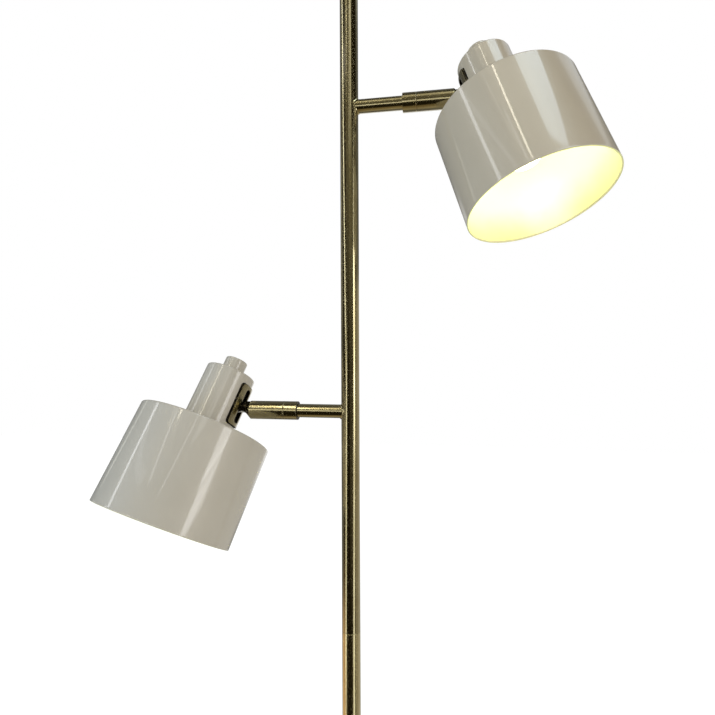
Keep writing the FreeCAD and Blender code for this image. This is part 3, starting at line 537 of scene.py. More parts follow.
def end_plate_shape(hub_height, tube_radius, spigot_radius, spigot_top):
    """A turned flange with a flared hub, a fine ring cut near its edge, and a spigot."""
    hub = tube_radius + HUB_LIP
    cut = PLATE_RADIUS - RING_CUT_INSET
    return turned(rounded([(0, 0), (PLATE_RADIUS, 0), (PLATE_RADIUS, PLATE_THICK, 0.0008),
                           (cut + RING_CUT_HALF, PLATE_THICK, 0.0002),
                           (cut, PLATE_THICK - RING_CUT_HALF, 0.0001),
                           (cut - RING_CUT_HALF, PLATE_THICK, 0.0002),
                           (hub + HUB_FLARE, PLATE_THICK, 0.0015), (hub, PLATE_THICK + HUB_FLARE, 0.0025),
                           (hub, hub_height), (spigot_radius, hub_height), (spigot_radius, spigot_top),
                           (0, spigot_top)]))


POLE_WALL = 0.001
brass_turned = aged_brass("aged_brass_turned")
shape = end_plate_shape(pole_low.z - plate_low.z, POLE_RADIUS, POLE_RADIUS - POLE_WALL - SPIGOT_FIT,
                        plate_high.z - plate_low.z)
foot_plate = finished("foot_flange", shape, Matrix.Translation((0, 0, plate_low.z)), brass_turned)
fitted(foot_plate, "pole", "aged_brass", "foot_plate")


# ---------------------------------------------------------------- pole
# Three drawn brass tubes stand on each other over short couplers hidden in their bores. Each
# tube's ends are eased with a fine stone, so that a seam shows as a hairline.
SEAM_EASE = 0.0003


def tube_shape(radius, bore, low, high, ease=SEAM_EASE):
    """A plain tube with eased ends."""
    return turned(rounded([(bore, low), (radius, low), (radius, high), (bore, high)], ease))


UP_THE_POLE = (1, 1, 0.03)
pole_brass = {
    "lower_pole": aged_brass("aged_brass_lower_section", UP_THE_POLE, light=1.35, roughness=0.19),
    "middle_pole": aged_brass("aged_brass_middle_section", UP_THE_POLE),
    "upper_pole": aged_brass("aged_brass_upper_section", UP_THE_POLE),
}
for node, brass in pole_brass.items():
    low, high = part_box(node)
    shape = tube_shape(high.x, high.x - POLE_WALL, low.z, high.z)
    fitted(finished(node + "_tube", shape, Matrix(), brass), "pole", "aged_brass", node)


# ---------------------------------------------------------------- arms
# A short brass tube for each head is cut to the pole's round side and brazed square to it. The
# braze shows as a slightly uneven, convex bead where it has run round the joint.
ARM_WALL = 0.0012
BRAZE_LEG = 0.0012
BRAZE_HEIGHT = 0.8
BRAZE_SUNK = 0.0001
BRAZE_ROOT = 0.0003
BRAZE_WAVE = 0.0003
BRAZE_STEPS = 72
BRAZE_PROFILE = 6
joints = {joint["name"]: joint for joint in frame["joints"]}


def joint_axis(name):
    """The direction of a joint's axis at rest."""
    return Vector(joints[name]["axis"]).normalized()


def frame_at(origin, along, across, upright):
    """The frame at a point whose X, Y and Z run in these directions."""
    return Matrix.Translation(origin) @ Matrix((along, across, upright)).transposed().to_4x4()


def arm_place(side):
    """The frame of one arm: its origin on the pole's axis and X out along the arm."""
    along = joint_axis(side + "_swivel")
    upright = Vector((0, 0, 1))
    return frame_at((0, 0, joints[side + "_swivel"]["pos_m"][2]), along, upright.cross(along), upright)


def bridged(shape, rings):
    """Add the quads between each ring of vertices and the next."""
    for first, second in zip(rings, rings[1:]):
        for index in range(len(first)):
            following = (index + 1) % len(first)
            shape.faces.new([first[index], first[following], second[following], second[index]])


def on_pole(point):
    """How far out along an arm the pole's round side lies, beside a point of the arm."""
    return math.sqrt(POLE_RADIUS ** 2 - point.y ** 2)


LYING = Matrix.Rotation(math.pi / 2, 4, "Y")
ALONG_THE_ARM = (0.03, 1, 1)


def braze_shape(radius):
    """The ring of braze between an arm and the pole's round side, a little wider here and there."""
    shape = bmesh.new()
    rings = []
    for step in range(BRAZE_STEPS):
        angle = 2 * math.pi * step / BRAZE_STEPS
        out = Vector((0, math.cos(angle), math.sin(angle)))
        leg = BRAZE_LEG + BRAZE_WAVE * (math.sin(3 * angle + 0.7) + 0.6 * math.sin(7 * angle))
        ring = []
        for part in range(BRAZE_PROFILE + 1):
            bend = math.pi / 2 * part / BRAZE_PROFILE
            along = leg * math.cos(bend) - BRAZE_SUNK
            away = leg * BRAZE_HEIGHT * math.sin(bend) - BRAZE_SUNK
            point = out * (radius + away)
            point.x = on_pole(point) + along
            ring.append(shape.verts.new(point))
        root = out * (radius - BRAZE_ROOT)
        root.x = on_pole(root) - BRAZE_ROOT
        ring.append(shape.verts.new(root))
        rings.append(ring)
    bridged(shape, rings + rings[:1])
    return shape


brass_braze = aged_brass("aged_brass_braze", light=1.15, roughness=0.12)

for side in ("upper", "lower"):
    place = arm_place(side)
    low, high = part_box(side + "_arm")
    radius = high.y
    arm_end = max(abs(low.x), abs(high.x))
    arm_brass = aged_brass(side + "_arm_brass", ALONG_THE_ARM, place, light=1.1)
    shape = tube_shape(radius, radius - ARM_WALL, POLE_RADIUS, arm_end, 0.0002)
    shape.transform(LYING)
    for vert in shape.verts:
        if vert.co.x < 2 * POLE_RADIUS:
            vert.co.x += on_pole(vert.co) - POLE_RADIUS - SEAM_EASE
    arm = finished(side + "_arm_tube", shape, place, arm_brass)
    fitted(arm, "pole", "aged_brass", side + "_arm")
    lit_by_card.objects.link(arm)
    braze = finished(side + "_arm_braze", braze_shape(radius), place, brass_braze)
    lit_by_card.objects.link(braze)
    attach(braze, "pole")


# ---------------------------------------------------------------- collars and sleeves
# A fixed collar is soldered to each arm, and a turned sleeve with a conical nose swivels
# against it on a hollow nipple. A hairline gap parts the two. The collar's back, facing the pole,
# is painted dark bronze: painted shade on that face.
COLLAR_EASE = 0.00035
COLLAR_LINE_DEPTH = 0.00012
NOSE_TIP_EASE = 0.0006
SLEEVE_WALL = 0.0014
SLEEVE_FRONT = 0.004
NOSE_LENGTH = 0.0056


def dark_bronze():
    """Cast bronze, oiled dark, with the casting's grain left on it."""
    material, tree = new_material("dark_bronze")
    where = on_piece(tree)
    grain = noise(tree, where, 1500, 3)
    rubbed = noise(tree, where, 320, 3).ramped(0.52, 0.70)
    colour = rubbed.mixed((0.014, 0.011, 0.007, 1), (0.13, 0.105, 0.062, 1))
    return surfaced(material, Base_Color=colour, Metallic=1.0, Roughness=grain * 0.25 + 0.28,
                    Normal=bumped(tree, grain, 0.00012, 0.7))


# This dark bronze is the tongues' own metal. It is also painted shade on the collars' backs and on the hinge
# plates' edges and slot walls.
bronze_and_painted_shade = dark_bronze()


def knuckle_place(side):
    """The frame of one knuckle: X along the arm and Y along its hinge pin, at the arm's height."""
    swivel = joints[side + "_swivel"]
    along = joint_axis(side + "_swivel")
    across = -joint_axis(side + "_tilt")
    return frame_at((0, 0, swivel["pos_m"][2]), along, across, along.cross(across))


for side in ("upper", "lower"):
    collar_low, collar_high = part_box(side + "_collar")
    sleeve_low, sleeve_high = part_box(side + "_sleeve")
    reach = (1 if side == "upper" else -1)
    collar_start, collar_end = sorted((collar_low.x * reach, collar_high.x * reach))
    sleeve_start, nose_end = sorted((sleeve_low.x * reach, sleeve_high.x * reach))
    radius = collar_high.y
    arm_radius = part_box(side + "_arm")[1].y
    collar_brass = aged_brass(side + "_collar_brass", ALONG_THE_ARM, arm_place(side), light=1.05)
    line_floor = radius - COLLAR_LINE_DEPTH
    shape = turned(rounded([(arm_radius, collar_start), (radius, collar_start, 0.0002),
                            (radius, collar_end - 0.0009, 0.0001), (line_floor, collar_end - 0.0007, 0.0001),
                            (line_floor, collar_end - 0.0006, 0.0001), (radius, collar_end - 0.0004, 0.0001),
                            (radius, collar_end), (arm_radius, collar_end)], COLLAR_EASE))
    shape.transform(LYING)
    collar = finished(side + "_collar_ring", shape, arm_place(side), collar_brass, bronze_and_painted_shade)
    # The faces turned towards the pole take dark bronze, as painted shade on the collar's back.
    inward = -joint_axis(side + "_swivel")
    for polygon in collar.data.polygons:
        polygon.material_index = 1 if polygon.normal.dot(inward) > 0.6 else 0
    fitted(collar, "pole", "aged_brass", side + "_collar")
    lit_by_card.objects.link(collar)

    sleeve_end = nose_end - NOSE_LENGTH
    floor_end = sleeve_end - SLEEVE_FRONT
    bore = radius - SLEEVE_WALL
    shape = turned(rounded([(bore, sleeve_start), (radius, sleeve_start), (radius, sleeve_end, 0.0006),
                            (radius - NOSE_LENGTH, nose_end, NOSE_TIP_EASE), (0, nose_end), (0, floor_end),
                            (bore, floor_end)], COLLAR_EASE))
    shape.transform(LYING)
    sleeve_brass = aged_brass(side + "_sleeve_brass", ALONG_THE_ARM, knuckle_place(side))
    sleeve = finished(side + "_sleeve_shell", shape, knuckle_place(side), sleeve_brass)
    fitted(sleeve, side + "_knuckle", "aged_brass", side + "_sleeve")
    lit_by_card.objects.link(sleeve)


# ---------------------------------------------------------------- hinge tongues
# A dark bronze tongue comes out of each sleeve's nose. It is cast with a waist and two rows of
# teeth round its eye, and swings on a riveted pin between the lugs of the slotted plate.
TONGUE_THICK = 0.007
TONGUE_TALL = 0.011
TONGUE_SUNK = 0.0005
TONGUE_WAIST = 0.24
TONGUE_STEPS = 8
EYE_SWEEP = 125
EYE_TEETH = 44
TOOTH_FOOT = 0.955


def slab_shape(outline, thickness, ease=0.0003):
    """A slab cut to an outline of (x, z) points, across Y, with its two faces' edges eased."""
    shape = bmesh.new()
    half = thickness / 2
    count = len(outline)
    centre = sum((Vector(point) for point in outline), Vector((0, 0))) / count
    rings = []
    for depth, shrink in ((-half, ease), (-half + ease, 0), (half - ease, 0), (half, ease)):
        ring = []
        for index in range(count):
            before = Vector(outline[index - 1])
            here = Vector(outline[index])
            after = Vector(outline[(index + 1) % count])
            along = (after - before).normalized()
            inward = Vector((-along.y, along.x))
            if inward.dot(centre - here) < 0:
                inward = -inward
            point = here + inward * shrink
            ring.append(shape.verts.new((point.x, depth, point.y)))
        rings.append(ring)
    bridged(shape, rings)
    shape.faces.new(rings[0])
    shape.faces.new(rings[-1])
    return shape


for side in ("upper", "lower"):
    pin = Vector(joints[side + "_tilt"]["pos_m"])
    home = knuckle_place(side).inverted() @ pin
    root = max(abs(corner.x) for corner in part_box(side + "_sleeve")) - NOSE_LENGTH - SLEEVE_FRONT
    neck_start = root + SLEEVE_FRONT + NOSE_LENGTH
    eye = TONGUE_TALL / 2
    neck = home.x - eye - neck_start
    edge = []
    for index in range(TONGUE_STEPS + 1):
        share = index / TONGUE_STEPS
        half = eye * (1 - TONGUE_WAIST * math.sin(math.pi * share) ** 2)
        edge.append((neck_start - TONGUE_SUNK + (neck + 3 * TONGUE_SUNK) * share, half))
    outline = [(along, home.z - half) for along, half in edge]
    for index in range(EYE_TEETH + 1):
        angle = math.radians(2 * EYE_SWEEP * index / EYE_TEETH - EYE_SWEEP)
        reach = eye * (1.0 if index % 2 else TOOTH_FOOT)
        outline.append((home.x + reach * math.cos(angle), home.z + reach * math.sin(angle)))
    outline += [(along, home.z + half) for along, half in reversed(edge)]
    outline += [(root, home.z + eye * 0.9), (root, home.z - eye * 0.9)]
    shape = slab_shape(outline, TONGUE_THICK)
    tongue = finished(side + "_tongue_casting", shape, knuckle_place(side), bronze_and_painted_shade)
    fitted(tongue, side + "_knuckle", "dark_bronze", side + "_tongue")


# ---------------------------------------------------------------- housings
# A spun steel can, stove-enamelled in warm greige outside, holds the lampholder and the switch.
# A window in its side takes the slotted hinge plate.
def head_place(side):
    """The frame of one head: Z up its axis and Y along the hinge pin, at the pin's height."""
    knob = joints[side + "_switch_turn"]
    upright = Vector(knob["axis"]).normalized()
    across = -joint_axis(side + "_tilt")
    return frame_at(knob["pos_m"], across.cross(upright), across, upright)


def greige_lacquer(name, place, dark, light):
    """Glossy stove enamel, warm greige, with a faint orange peel and a dusty cloudiness."""
    material, tree = new_material(name)
    where = on_piece(tree, place)
    cloud = noise(tree, where, 30, 3)
    peel = noise(tree, where, 330, 1.5, 0.4)
    colour = cloud.mixed((*dark, 1), (*light, 1))
    return surfaced(material, Base_Color=colour, Roughness=cloud * 0.05 + 0.33,
                    Coat_Weight=0.9, Coat_Roughness=0.035,
                    Normal=bumped(tree, peel, 0.000035, 0.35))


# Lit copies of one greige: the lower head's is cooler and lighter, painted with the cool light that falls on
# it, and the upper head's is warmer, painted with its own lamp's warm light.
GREIGES_WITH_PAINTED_LIGHT = {
    "upper": ((0.402, 0.352, 0.262), (0.443, 0.389, 0.293)),
    "lower": ((0.414, 0.384, 0.318), (0.455, 0.424, 0.355)),
}
lacquers = {}
for side, (dark, light) in GREIGES_WITH_PAINTED_LIGHT.items():
    lacquers[side] = greige_lacquer(side + "_greige_lacquer", head_place(side), dark, light)
    frame["nodes"][side + "_housing"].data.materials[0] = lacquers[side]


# ---------------------------------------------------------------- slotted hinge plates
# A thick brass plate, bent to the housing's curve and eased all round, stands a little proud
# in the window. The tongue swings up and down in its slot, between two lugs behind it. Its edges
# and the slot's walls are painted dark bronze: painted shade, for the dark gap round the plate and
# the shade in the slot.
PLATE_W = 0.0240
PLATE_H = 0.0433
PLATE_CORNER = 0.003
PLATE_RISE = 0.0028
PLATE_FACE = 0.0278
PLATE_BACK = 0.02495
SLOT_W = 0.008
SLOT_H = 0.035
PLATE_STEPS = 12


def rounded_rectangle(width, height, corner):
    """Points round a rectangle with round corners, centred on zero, the same count for any size."""
    points = []
    for quarter in range(4):
        signs = ((1, 1), (-1, 1), (-1, -1), (1, -1))[quarter]
        middle = Vector((signs[0] * (width / 2 - corner), signs[1] * (height / 2 - corner)))
        for step in range(PLATE_STEPS + 1):
            angle = math.pi / 2 * (quarter + step / PLATE_STEPS)
            points.append(middle + Vector((math.cos(angle), math.sin(angle))) * corner)
        following = ((-1, 1), (-1, -1), (1, -1), (1, 1))[quarter]
        end = Vector((following[0] * (width / 2 - corner), following[1] * (height / 2 - corner)))
        run = end - middle
        last = points[-1]
        for step in range(1, PLATE_STEPS):
            points.append(last + run * step / PLATE_STEPS)
    return points


def hinge_plate_shape():
    """The slotted plate: loops of points from its back edge over its face and into its slot."""
    ease = 0.0006
    loops = []
    levels = [(0, PLATE_BACK), (0, PLATE_FACE - ease)]
    for step in range(1, 5):
        bend = math.pi / 2 * step / 4
        levels.append((ease * (1 - math.cos(bend)), PLATE_FACE - ease * (1 - math.sin(bend))))
    levels.append((ease * 1.5, PLATE_FACE))
    for inset, reach in levels:
        points = rounded_rectangle(PLATE_W - 2 * inset, PLATE_H - 2 * inset, PLATE_CORNER - inset)
        loops.append((points, reach))
    for share in (0.33, 0.66):
        width = (PLATE_W - 2 * ease) * (1 - share) + (SLOT_W + 2 * ease) * share
        tall = (PLATE_H - 2 * ease) * (1 - share) + (SLOT_H + 2 * ease) * share
        loops.append((rounded_rectangle(width, tall, PLATE_CORNER), PLATE_FACE))
    for grow, reach in ((ease, PLATE_FACE), (ease * 0.3, PLATE_FACE - ease * 0.3), (0, PLATE_FACE - ease),
                        (0, PLATE_BACK)):
        loops.append((rounded_rectangle(SLOT_W + 2 * grow, SLOT_H + 2 * grow, PLATE_CORNER + grow), reach))
    shape = bmesh.new()
    rings = []
    for points, reach in loops:
        rings.append([shape.verts.new((-math.sqrt(reach ** 2 - point.x ** 2), point.x, point.y + PLATE_RISE))
                      for point in points])
    bridged(shape, rings + rings[:1])
    return shape


LUG_THICK = 0.0023
LUG_RADIUS = 0.0063
PIN_TO_AXIS = 0.0193
LUG_STEPS = 24


def lug_shape(offset):
    """One lug behind the plate: straight from the plate's back, round about the pin."""
    outline = [(-PLATE_BACK - 0.0004, LUG_RADIUS), (-PLATE_BACK - 0.0004, -LUG_RADIUS)]
    for step in range(LUG_STEPS + 1):
        angle = -math.pi / 2 + math.pi * step / LUG_STEPS
        outline.append((-PIN_TO_AXIS + LUG_RADIUS * math.cos(angle), LUG_RADIUS * math.sin(angle)))
    shape = slab_shape(outline, LUG_THICK)
    shape.transform(Matrix.Translation((0, offset, 0)))
    return shape


for side in ("upper", "lower"):
    plate_brass = aged_brass(side + "_hinge_plate_brass", (1, 1, 0.1), head_place(side), light=0.62,
                             roughness=0.22)
    shape = hinge_plate_shape()
    for offset in (-1, 1):
        shape = joined(shape, lug_shape(offset * (SLOT_W + LUG_THICK) / 2))
    hinge_plate = finished(side + "_hinge_plate", shape, head_place(side), plate_brass, bronze_and_painted_shade)
    home = head_place(side).inverted()
    # Only the plate's outward face keeps the brass. Its edges, its slot's walls and the lugs take dark bronze,
    # as painted shade.
    for polygon in hinge_plate.data.polygons:
        centre = home @ polygon.center
        facing = (home.to_3x3() @ polygon.normal).dot(Vector((centre.x, centre.y, 0)).normalized())
        polygon.material_index = 0 if facing > 0.93 and centre.x < -0.015 else 1
    fitted(hinge_plate, side + "_head", "aged_brass", side + "_bracket")


# ---------------------------------------------------------------- shades
# A drum spun from sheet steel, enamelled greige outside and white inside. Its lower edge is
# turned over a thin bead, and a ring under its top clamps it to the housing.
SHADE_DROP = 0.0283
SHADE_H = 0.0997
SHADE_TOP_R = 0.0673
SHADE_RIM_R = 0.0680
SHADE_WALL = 0.0010
SHADE_EDGE = 0.0016
SHADE_HOLE_R = 0.0203
SHADE_STEPS = 192
BEAD_R = 0.0007
BEAD_STEPS = 14
# Heights between which the enamel inside goes from yellow at the mouth to white deeper in: a painted glow for
# the lamp's warm light, which is dimmer towards the mouth.
PAINTED_GLOW_YELLOW_LEVEL = -0.121
PAINTED_GLOW_WHITE_LEVEL = -0.080


def white_enamel_and_painted_glow(name, place):
    """The glossy white enamel inside a shade, with the lamp's warm light painted in: white deep inside, where
    the lamp lights it most, and yellow towards the mouth, where its light is dimmer.
    """
    material, tree = new_material(name)
    where = on_piece(tree, place)
    cloud = noise(tree, where, 40, 3)
    peel = noise(tree, where, 400, 1.5, 0.4)
    # Painted glow: whiter deeper in, where the lamp lights the enamel most, and yellow towards the mouth.
    depth = (tree.make("SeparateXYZ", {}, {0: where}, 2) + cloud * 0.012).ramped(PAINTED_GLOW_YELLOW_LEVEL, PAINTED_GLOW_WHITE_LEVEL)
    colour = depth.mixed((0.74, 0.74, 0.35, 1), (0.80, 0.80, 0.72, 1))
    return surfaced(material, Base_Color=colour, Roughness=cloud * 0.1 + 0.30,
                    Coat_Weight=1.0, Coat_Roughness=0.26, Normal=bumped(tree, peel, 0.00003, 0.3))


def shade_shape():
    """The drum's wall from the holder's hole over the top, down round the bead and up inside."""
    rim = -SHADE_DROP - SHADE_H
    bead = []
    for step in range(BEAD_STEPS + 1):
        angle = math.radians(38 - 258 * step / BEAD_STEPS)
        bead.append((SHADE_RIM_R - BEAD_R + BEAD_R * math.cos(angle),
                     rim + BEAD_R + BEAD_R * math.sin(angle), 0))
    under = -SHADE_DROP - SHADE_WALL
    return turned(rounded([(SHADE_HOLE_R, under, 0.0002), (SHADE_HOLE_R, -SHADE_DROP, 0.0002),
                           (SHADE_TOP_R, -SHADE_DROP, SHADE_EDGE),
                           (SHADE_RIM_R - 0.0001, rim + 2.4 * BEAD_R, 0),
                           *bead, (SHADE_RIM_R - SHADE_WALL - 0.0001, rim + 2.6 * BEAD_R, 0),
                           (SHADE_TOP_R - SHADE_WALL, under, SHADE_EDGE - 0.0006)], 0.0003, 8),
                  SHADE_STEPS)


for side in ("upper", "lower"):
    place = head_place(side)
    enamel = white_enamel_and_painted_glow(side + "_white_enamel_and_painted_glow", place)
    shade = finished(side + "_shade_drum", shade_shape(), place, lacquers[side], enamel)
    home = place.inverted()
    for polygon in shade.data.polygons:
        centre = home @ polygon.center
        normal = home.to_3x3() @ polygon.normal
        outward = Vector((centre.x, centre.y, 0)).normalized()
        inside_wall = normal.dot(outward) < -0.3 and centre.z > -SHADE_DROP - SHADE_H + 0.002
        under_top = normal.z < -0.3 and centre.z > -SHADE_DROP - 0.003
        under_bead = centre.z < -SHADE_DROP - SHADE_H + BEAD_R * 0.5
        polygon.material_index = 1 if inside_wall or under_top or under_bead else 0
    fitted(shade, side + "_head", "greige_lacquer", side + "_shade")


# ---------------------------------------------------------------- lampholders, rings and lamps
# A glazed ceramic holder hangs from the housing's lip through the shade, and a ribbed plastic
# ring on its skirt clamps the shade. An opal ball lamp, lit, is screwed into it.
def ceramic():
    """White glazed porcelain."""
    material, tree = new_material("ceramic")
    where = on_piece(tree)
    cloud = noise(tree, where, 90, 2)
    colour = cloud.mixed((0.76, 0.74, 0.69, 1), (0.82, 0.80, 0.76, 1))
    return surfaced(material, Base_Color=colour, Roughness=cloud * 0.08 + 0.12, Coat_Weight=0.6,
                    Coat_Roughness=0.03, Normal=bumped(tree, cloud, 0.0001, 0.3))


def plastic(name, dark, light, roughness, grain_scale=1800):
    """Moulded plastic with a fine spark-eroded grain."""
    material, tree = new_material(name)
    where = on_piece(tree)
    grain = noise(tree, where, grain_scale, 2)
    cloud = noise(tree, where, 120, 2)
    return surfaced(material, Base_Color=cloud.mixed(dark, light), Roughness=grain * 0.15 + roughness,
                    Normal=bumped(tree, grain, 0.00004, 0.5))


def bright_metal(name, dark, light, roughness):
    """Plain plated metal with fine drawing marks."""
    material, tree = new_material(name)
    where = on_piece(tree)
    grain = noise(tree, where, 1100, 3)
    cloud = noise(tree, where, 150, 3)
    return surfaced(material, Base_Color=cloud.mixed(dark, light), Metallic=1.0,
                    Roughness=grain * 0.18 + roughness, Normal=bumped(tree, grain, 0.00003, 0.4))


LAMP_GLOW = (1.0, 0.98, 0.56, 1)
LAMP_GLOW_STRENGTH = 9.5


def opal_glass():
    """Opal glass, lit from within."""
    material, tree = new_material("opal_glass")
    where = on_piece(tree)
    cloud = noise(tree, where, 60, 2)
    colour = cloud.mixed((0.84, 0.83, 0.80, 1), (0.88, 0.87, 0.85, 1))
    glow = cloud.mixed(LAMP_GLOW, (LAMP_GLOW[0], LAMP_GLOW[1] * 0.98, LAMP_GLOW[2] * 0.95, 1))
    return surfaced(material, Base_Color=colour, Roughness=cloud * 0.05 + 0.18, Emission_Color=glow,
                    Emission_Strength=LAMP_GLOW_STRENGTH)


finishes = {
    "ceramic": ceramic(),
    "ring_plastic": plastic("ring_plastic", (0.020, 0.020, 0.021, 1), (0.030, 0.030, 0.031, 1), 0.35),
    "black_plastic": plastic("black_plastic", (0.014, 0.014, 0.014, 1), (0.024, 0.024, 0.024, 1), 0.42),
    "lead_sheath": plastic("lead_sheath", (0.60, 0.59, 0.55, 1), (0.66, 0.65, 0.61, 1), 0.45, 900),
    "steel": bright_metal("steel", (0.46, 0.46, 0.46, 1), (0.58, 0.58, 0.58, 1), 0.26),
    "inner_brass": bright_metal("inner_brass", (0.70, 0.54, 0.25, 1), (0.80, 0.64, 0.33, 1), 0.24),
    "lamp_cap_metal": bright_metal("lamp_cap_metal", (0.62, 0.62, 0.61, 1), (0.74, 0.74, 0.73, 1), 0.22),
    "opal_glass": opal_glass(),
    "rubber": black_rubber,
    "aged_brass": brass_turned,
    "dark_bronze": bronze_and_painted_shade,
}

LAMP_TOP = -0.0157
LAMP_LENGTH = 0.075
LAMP_BALL_R = 0.0225
LAMP_NECK_R = 0.0124
LAMP_CAP_LENGTH = 0.026
BALL_STEPS = 24


def lamp_glass_shape():
    """The closed glass: a round ball that flows into a short neck."""
    middle = LAMP_TOP - LAMP_LENGTH + LAMP_BALL_R
    neck_foot = LAMP_TOP - LAMP_CAP_LENGTH
    flow = 0.004
    start = math.acos((LAMP_NECK_R + flow) / (LAMP_BALL_R + flow))
    outline = [Vector((0, neck_foot)), Vector((LAMP_NECK_R, neck_foot))]
    hollow_level = middle + (LAMP_BALL_R + flow) * math.sin(start)
    for step in range(7):
        angle = start * step / 6
        outline.append(Vector((LAMP_NECK_R + flow - flow * math.cos(angle),
                               hollow_level - flow * math.sin(angle))))
    for step in range(1, BALL_STEPS + 1):
        angle = start - (start + math.pi / 2) * step / BALL_STEPS
        outline.append(Vector((max(LAMP_BALL_R * math.cos(angle), 0),
                               middle + LAMP_BALL_R * math.sin(angle))))
    return turned(outline, 64)


RING_TOP = -0.0293
RING_INNER = 0.0198
RING_FLANGE_W = 0.0070
RING_FLANGE_T = 0.0020
RING_HUB_W = 0.0032
RING_H = 0.0060
RING_RIBS = 40

for side in ("upper", "lower"):
    place = head_place(side)
    glass = finished(side + "_lamp_bulb", lamp_glass_shape(), place, finishes["opal_glass"])
    fitted(glass, side + "_head", "opal_glass", side + "_lamp_glass")
    hub = RING_INNER + RING_HUB_W
    rim = RING_INNER + RING_FLANGE_W
    flange_foot = RING_TOP - RING_FLANGE_T
    outline = rounded([(RING_INNER, RING_TOP), (rim, RING_TOP), (rim, flange_foot), (hub, flange_foot, 0.0006),
                       (hub, RING_TOP - RING_H, 0.0005), (RING_INNER, RING_TOP - RING_H, 0.0005)], 0.0003)
    ribs = ring_of_ribs(side + "_ring_ribs", RING_RIBS, hub, 0.0006, RING_H - RING_FLANGE_T - 0.0006,
                        RING_TOP - (RING_H + RING_FLANGE_T) / 2, finishes["ring_plastic"])
    shape = joined(turned(outline), ribs)
    shade_ring = finished(side + "_clamp_ring", shape, place, finishes["ring_plastic"])
    fitted(shade_ring, side + "_head", "ring_plastic", side + "_shade_ring")


# ---------------------------------------------------------------- switch knobs
# A lacquered metal knob over the rotary switch's bush turns the lamp on and off.
KNOB_R = 0.0117
KNOB_H = 0.0151
KNOB_GAP = 0.0003
KNOB_EDGE = 0.0012
KNOB_SKIRT = 0.0022
HOUSING_TOP = 0.0334
KNOB_RECESS = 0.0040
SPINDLE_R = 0.003
SPINDLE_FOOT = HOUSING_TOP - 0.0110

for side in ("upper", "lower"):
    foot = HOUSING_TOP + KNOB_GAP
    inner = KNOB_R - KNOB_SKIRT
    recess = HOUSING_TOP + KNOB_RECESS
    shape = turned(rounded([(0, HOUSING_TOP + KNOB_H), (KNOB_R, HOUSING_TOP + KNOB_H, KNOB_EDGE),
                            (KNOB_R, foot, 0.0003), (inner, foot, 0.0003), (inner, recess),
                            (SPINDLE_R, recess), (SPINDLE_R, SPINDLE_FOOT), (0, SPINDLE_FOOT)]))
    knob = finished(side + "_knob_cap", shape, head_place(side), lacquers[side])
    fitted(knob, side + "_knob", "greige_lacquer", side + "_switch_knob")


# ---------------------------------------------------------------- telescoping top
# The upper section ends in a brass collar whose knurled thumbscrew grips the sliding extension.
# A sprung plunger in the extension presses the ceiling plate and its rubber pad to the ceiling.
collar_low, collar_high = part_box("clamp_collar")
extension_low, extension_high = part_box("extension_tube")
plunger_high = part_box("plunger_tube")[1]
pole_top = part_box("upper_pole")[1].z
bore = POLE_RADIUS - POLE_WALL
outer = collar_high.x
clamp = turned(rounded([(POLE_RADIUS, collar_low.z), (outer, collar_low.z, 0.0008),
                        (outer, pole_top - 0.0008, 0.0002), (outer - 0.0004, pole_top - 0.0004, 0.0001),
                        (outer - 0.0004, pole_top + 0.0004, 0.0001), (outer, pole_top + 0.0008, 0.0002),
                        (outer, collar_high.z, 0.0008), (bore, collar_high.z), (bore, pole_top),
                        (POLE_RADIUS, pole_top)]))
clamp_collar = finished("clamp_collar_ring", clamp, Matrix(), brass_turned)
fitted(clamp_collar, "pole", "aged_brass", "clamp_collar")

EXTENSION_WALL = 0.0012
PLUNGER_WALL = 0.0014
sliding_brass = aged_brass("aged_brass_sliding_tube", UP_THE_POLE)
shape = tube_shape(extension_high.x, extension_high.x - EXTENSION_WALL, extension_low.z, extension_high.z)
extension = finished("extension_tube_drawn", shape, Matrix(), sliding_brass)
fitted(extension, "extension", "aged_brass", "extension_tube")

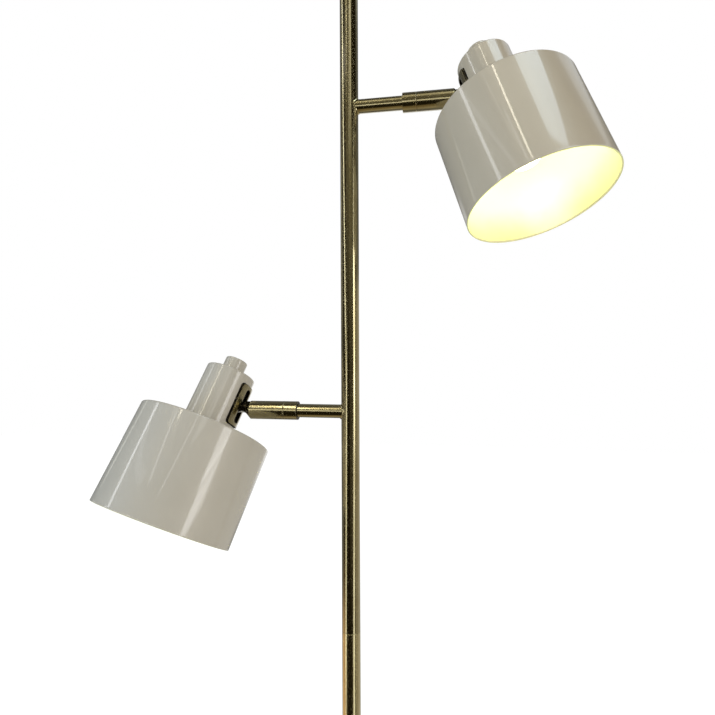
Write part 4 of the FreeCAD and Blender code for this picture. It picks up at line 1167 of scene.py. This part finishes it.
KNURL_RIBS = 40
KNURL_R = 0.0003
screw_low, screw_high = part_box("clamp_screw")
screw_level = (screw_low.z + screw_high.z) / 2
screw_head_r = (screw_high.z - screw_low.z) / 2
SCREW_HEAD_LENGTH = 0.009
SCREW_SHANK_R = 0.0025
head_start = screw_high.x - SCREW_HEAD_LENGTH
core = screw_head_r - KNURL_R
shape = turned(rounded([(0, screw_low.x), (SCREW_SHANK_R, screw_low.x), (SCREW_SHANK_R, head_start),
                        (core - 0.0006, head_start), (core, head_start + 0.0010),
                        (core, screw_high.x - 0.0010), (core - 0.0006, screw_high.x, 0.0003),
                        (0.0030, screw_high.x, 0.0003),
                        (0.0026, screw_high.x - 0.0006, 0.0002), (0, screw_high.x - 0.0006)], 0.0002), 64)
knurl = ring_of_ribs("knurl", KNURL_RIBS, core, KNURL_R, SCREW_HEAD_LENGTH - 0.0020,
                     (head_start + screw_high.x) / 2, brass_turned)
shape = joined(shape, knurl)
screw_place = Matrix.Translation((0, 0, screw_level)) @ LYING
clamp_screw = finished("clamp_thumbscrew", shape, screw_place, brass_turned)
fitted(clamp_screw, "clamp_screw", "aged_brass", "clamp_screw")

ceiling_low, ceiling_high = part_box("ceiling_plate")
ceiling_pad_low, ceiling_pad_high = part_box("ceiling_pad")
upside_down = Matrix.Rotation(math.pi, 4, "X")
shape = end_plate_shape(ceiling_high.z - plunger_high.z, plunger_high.x,
                        plunger_high.x - PLUNGER_WALL - SPIGOT_FIT, ceiling_high.z - ceiling_low.z)
ceiling_plate = finished("ceiling_flange", shape, Matrix.Translation((0, 0, ceiling_high.z)) @ upside_down,
                         brass_turned)
fitted(ceiling_plate, "plunger", "aged_brass", "ceiling_plate")
pad_height = ceiling_pad_high.z - ceiling_pad_low.z
ceiling_pad = finished("ceiling_pad_moulding", pad_shape(PAD_RADIUS, PLATE_RADIUS, pad_height),
                       Matrix.Translation((0, 0, ceiling_pad_high.z)) @ upside_down, black_rubber)
fitted(ceiling_pad, "plunger", "rubber", "ceiling_pad")


# ---------------------------------------------------------------- inner pieces
# Couplers, nipples, nuts, bushes, pins, leads and contacts stay as they are made, each in the
# finish of its own stuff.
for name, node in frame["nodes"].items():
    if node.hide_render or name.endswith("_housing"):
        continue
    slot_name = node.data.materials[0].name
    node.data.materials[0] = finishes[slot_name]
frame["nodes"]["plunger_tube"].data.materials[0] = sliding_brass
